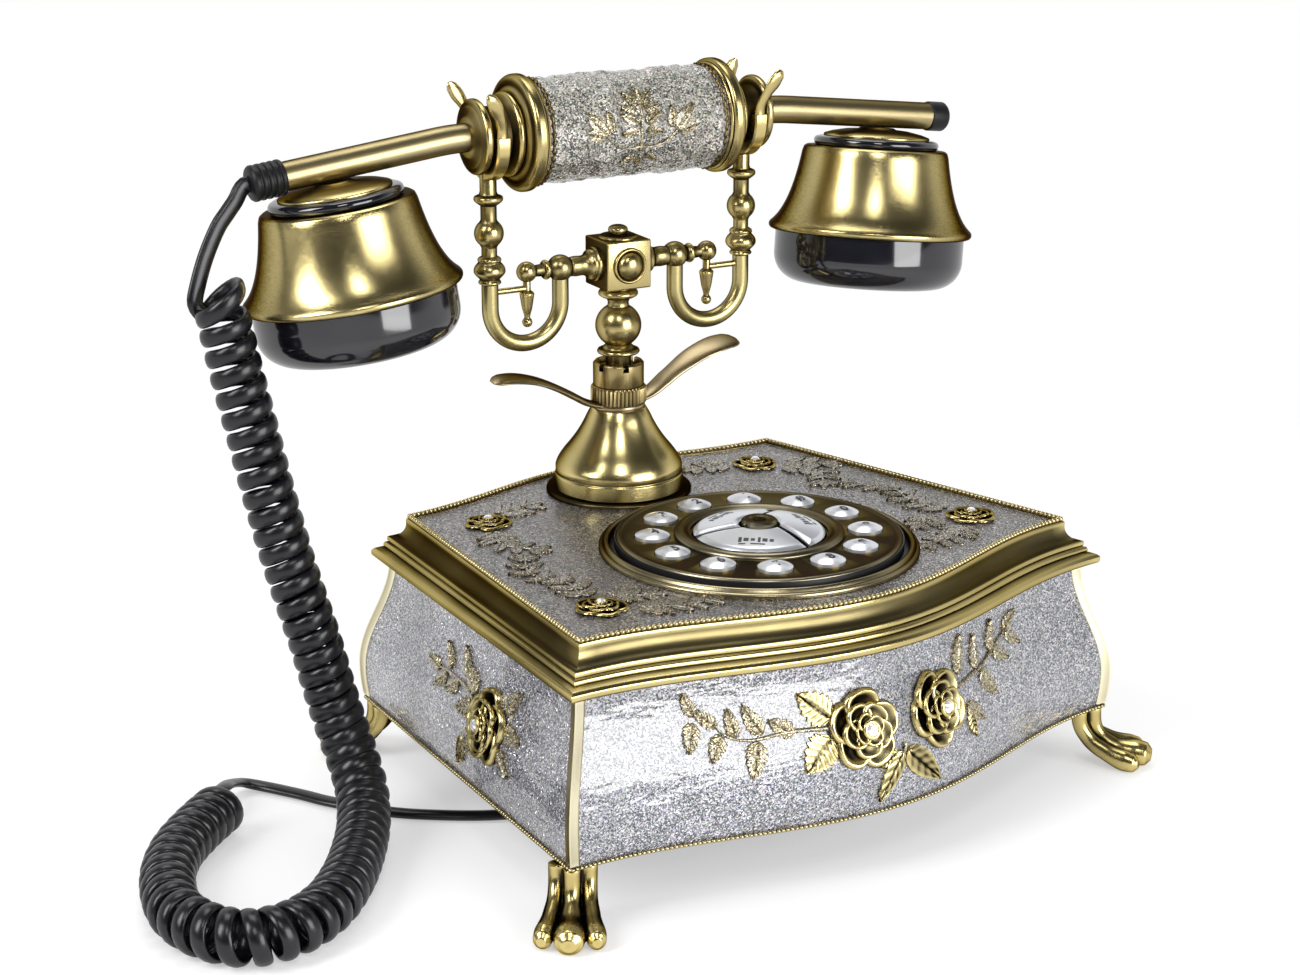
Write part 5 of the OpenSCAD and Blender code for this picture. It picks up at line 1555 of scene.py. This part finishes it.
def makeBladeMarks():
    # small generic strokes on the three middle keys
    rows = [(-4.8, 2.8, 1.0), (-3.0, 1.8, 1.5), (-1.0, 1.4, 1.2), (0.9, 2.8, 0.8), (2.6, 1.8, 1.5),
            (4.6, 1.5, 1.2), (-4.1, 0.6, 2), (0.6, 0.6, 4.4)]
    for key, turn in (("a", 108), ("b", 228), ("c", 348)):
        strokes = []
        for k, (across, high, wide) in enumerate(rows):
            stroke = added("cube", "stroke", size=1)
            modify(stroke, "SUBSURF", levels=1, subdivision_type="SIMPLE")
            for vertex in stroke.data.vertices:
                u, v, w = vertex.co
                x, y = across + u * wide, -14.2 + v * high - (2.4 if k > 5 else 0)
                z = bladeTop(x * x + y * y) + (0.06 if w > 0.2 else -0.15)
                vertex.co = Vector((x, y, z)) * mm
            strokes.append(placed(stroke, turned(turn + 90, "Z")))
        marks = joined("strokes_" + key, strokes)
        placed(marks, moved(0, dialY, 0))
        facesOut(marks)
        finishPiece(marks, "function_key_" + key, keyInk)


# studio


def makeStudio():
    floor = added("plane", "studio_floor", size=24, location=(0, 0, 0))
    material, tree, shader = newMaterial("studio_floor")
    fill(tree, shader, {"Base Color": (0.9, 0.9, 0.91, 1), "Roughness": 0.7, "Specular IOR Level": 0.2})
    glow = newNode(tree, "Emission", {"Color": (1, 1, 1, 1), "Strength": 1})
    ray = newNode(tree, "LightPath").outputs
    seen = sums(tree, "ADD", ray["Is Camera Ray"], ray["Is Glossy Ray"])
    seen = sums(tree, "ADD", seen, ray["Is Transmission Ray"])
    away = vectors(tree, "LENGTH", newNode(tree, "TexCoord").outputs["Object"])
    fade = smoothRange(tree, away.outputs["Value"], 0.2, 0.75, 0.45, 1)
    share = sums(tree, "MULTIPLY", fade, sums(tree, "MINIMUM", seen, 1))
    mix = newNode(tree, "MixShader",
                  {"Fac": share, 1: shader.outputs["BSDF"], 2: glow.outputs["Emission"]})
    fill(tree, tree.nodes["Material Output"], {"Surface": mix.outputs["Shader"]})
    paint(floor, material)
    # name, place, width, height, watts
    lamps = [("left", (-1.2, 0.04, 0.95), 0.55, 0.9, 15), ("front", (0.24, -1.25, 0.38), 0.8, 0.8, 15),
             ("high_front", (-0.6, -1.0, 1.35), 0.35, 0.5, 5), ("top", (0.25, 0.45, 1.5), 0.8, 0.8, 8)]
    for name, place, width, height, power in lamps:
        bpy.ops.object.light_add(type="AREA", location=place)
        lamp = newest("lamp_" + name)
        lamp.data.shape = "RECTANGLE"
        lamp.data.size = width
        lamp.data.size_y = height
        lamp.data.energy = power
        aim = Vector((0, 0, 0.1)) - Vector(place)
        lamp.rotation_euler = aim.to_track_quat("-Z", "Y").to_euler()
    world = bpy.data.worlds.new("studio")
    bpy.context.scene.world = world
    world.use_nodes = True
    tree = world.node_tree
    # white all round, but for a dim room on the side of the camera
    ray = newNode(tree, "LightPath").outputs
    facing = vectors(tree, "DOT_PRODUCT", newNode(tree, "TexCoord").outputs["Generated"],
                     Vector((-0.5, -0.78, 0.75)).normalized())
    room = smoothRange(tree, facing.outputs["Value"], -0.15, 0.4, 1, 0.03)
    glossy = sums(tree, "MULTIPLY", room, ray["Is Glossy Ray"])
    rest = sums(tree, "MAXIMUM", ray["Is Camera Ray"], ray["Is Transmission Ray"])
    diffuse = sums(tree, "MULTIPLY", ray["Is Diffuse Ray"], 0.5)
    level = sums(tree, "MAXIMUM", sums(tree, "MAXIMUM", glossy, rest), diffuse)
    fill(tree, tree.nodes["Background"], {"Strength": level, "Color": (1, 1, 1, 1)})


# the object, piece by piece


for stage, makers in (("base", (makeWalls, makeMoulding, makeTrims, makeStrips, makeFeet)),
                      ("dial", (makeDial, makeBlades, makeKeyMarks, makeBladeMarks)),
                      ("stand", (makeStandBell, makeWings, makeCollars, makeStem, makeCradle, makePosts)),
                      ("handset", (makeGrip, makeGripEnds, makeTubes, makeCaps, makeCups, makeBowls)),
                      ("ornaments", (makeOrnaments,)), ("studio", (makeStudio,))):
    for maker in makers:
        maker()
    print(stage, "made")
bpy.context.scene.view_settings.view_transform = "Standard"
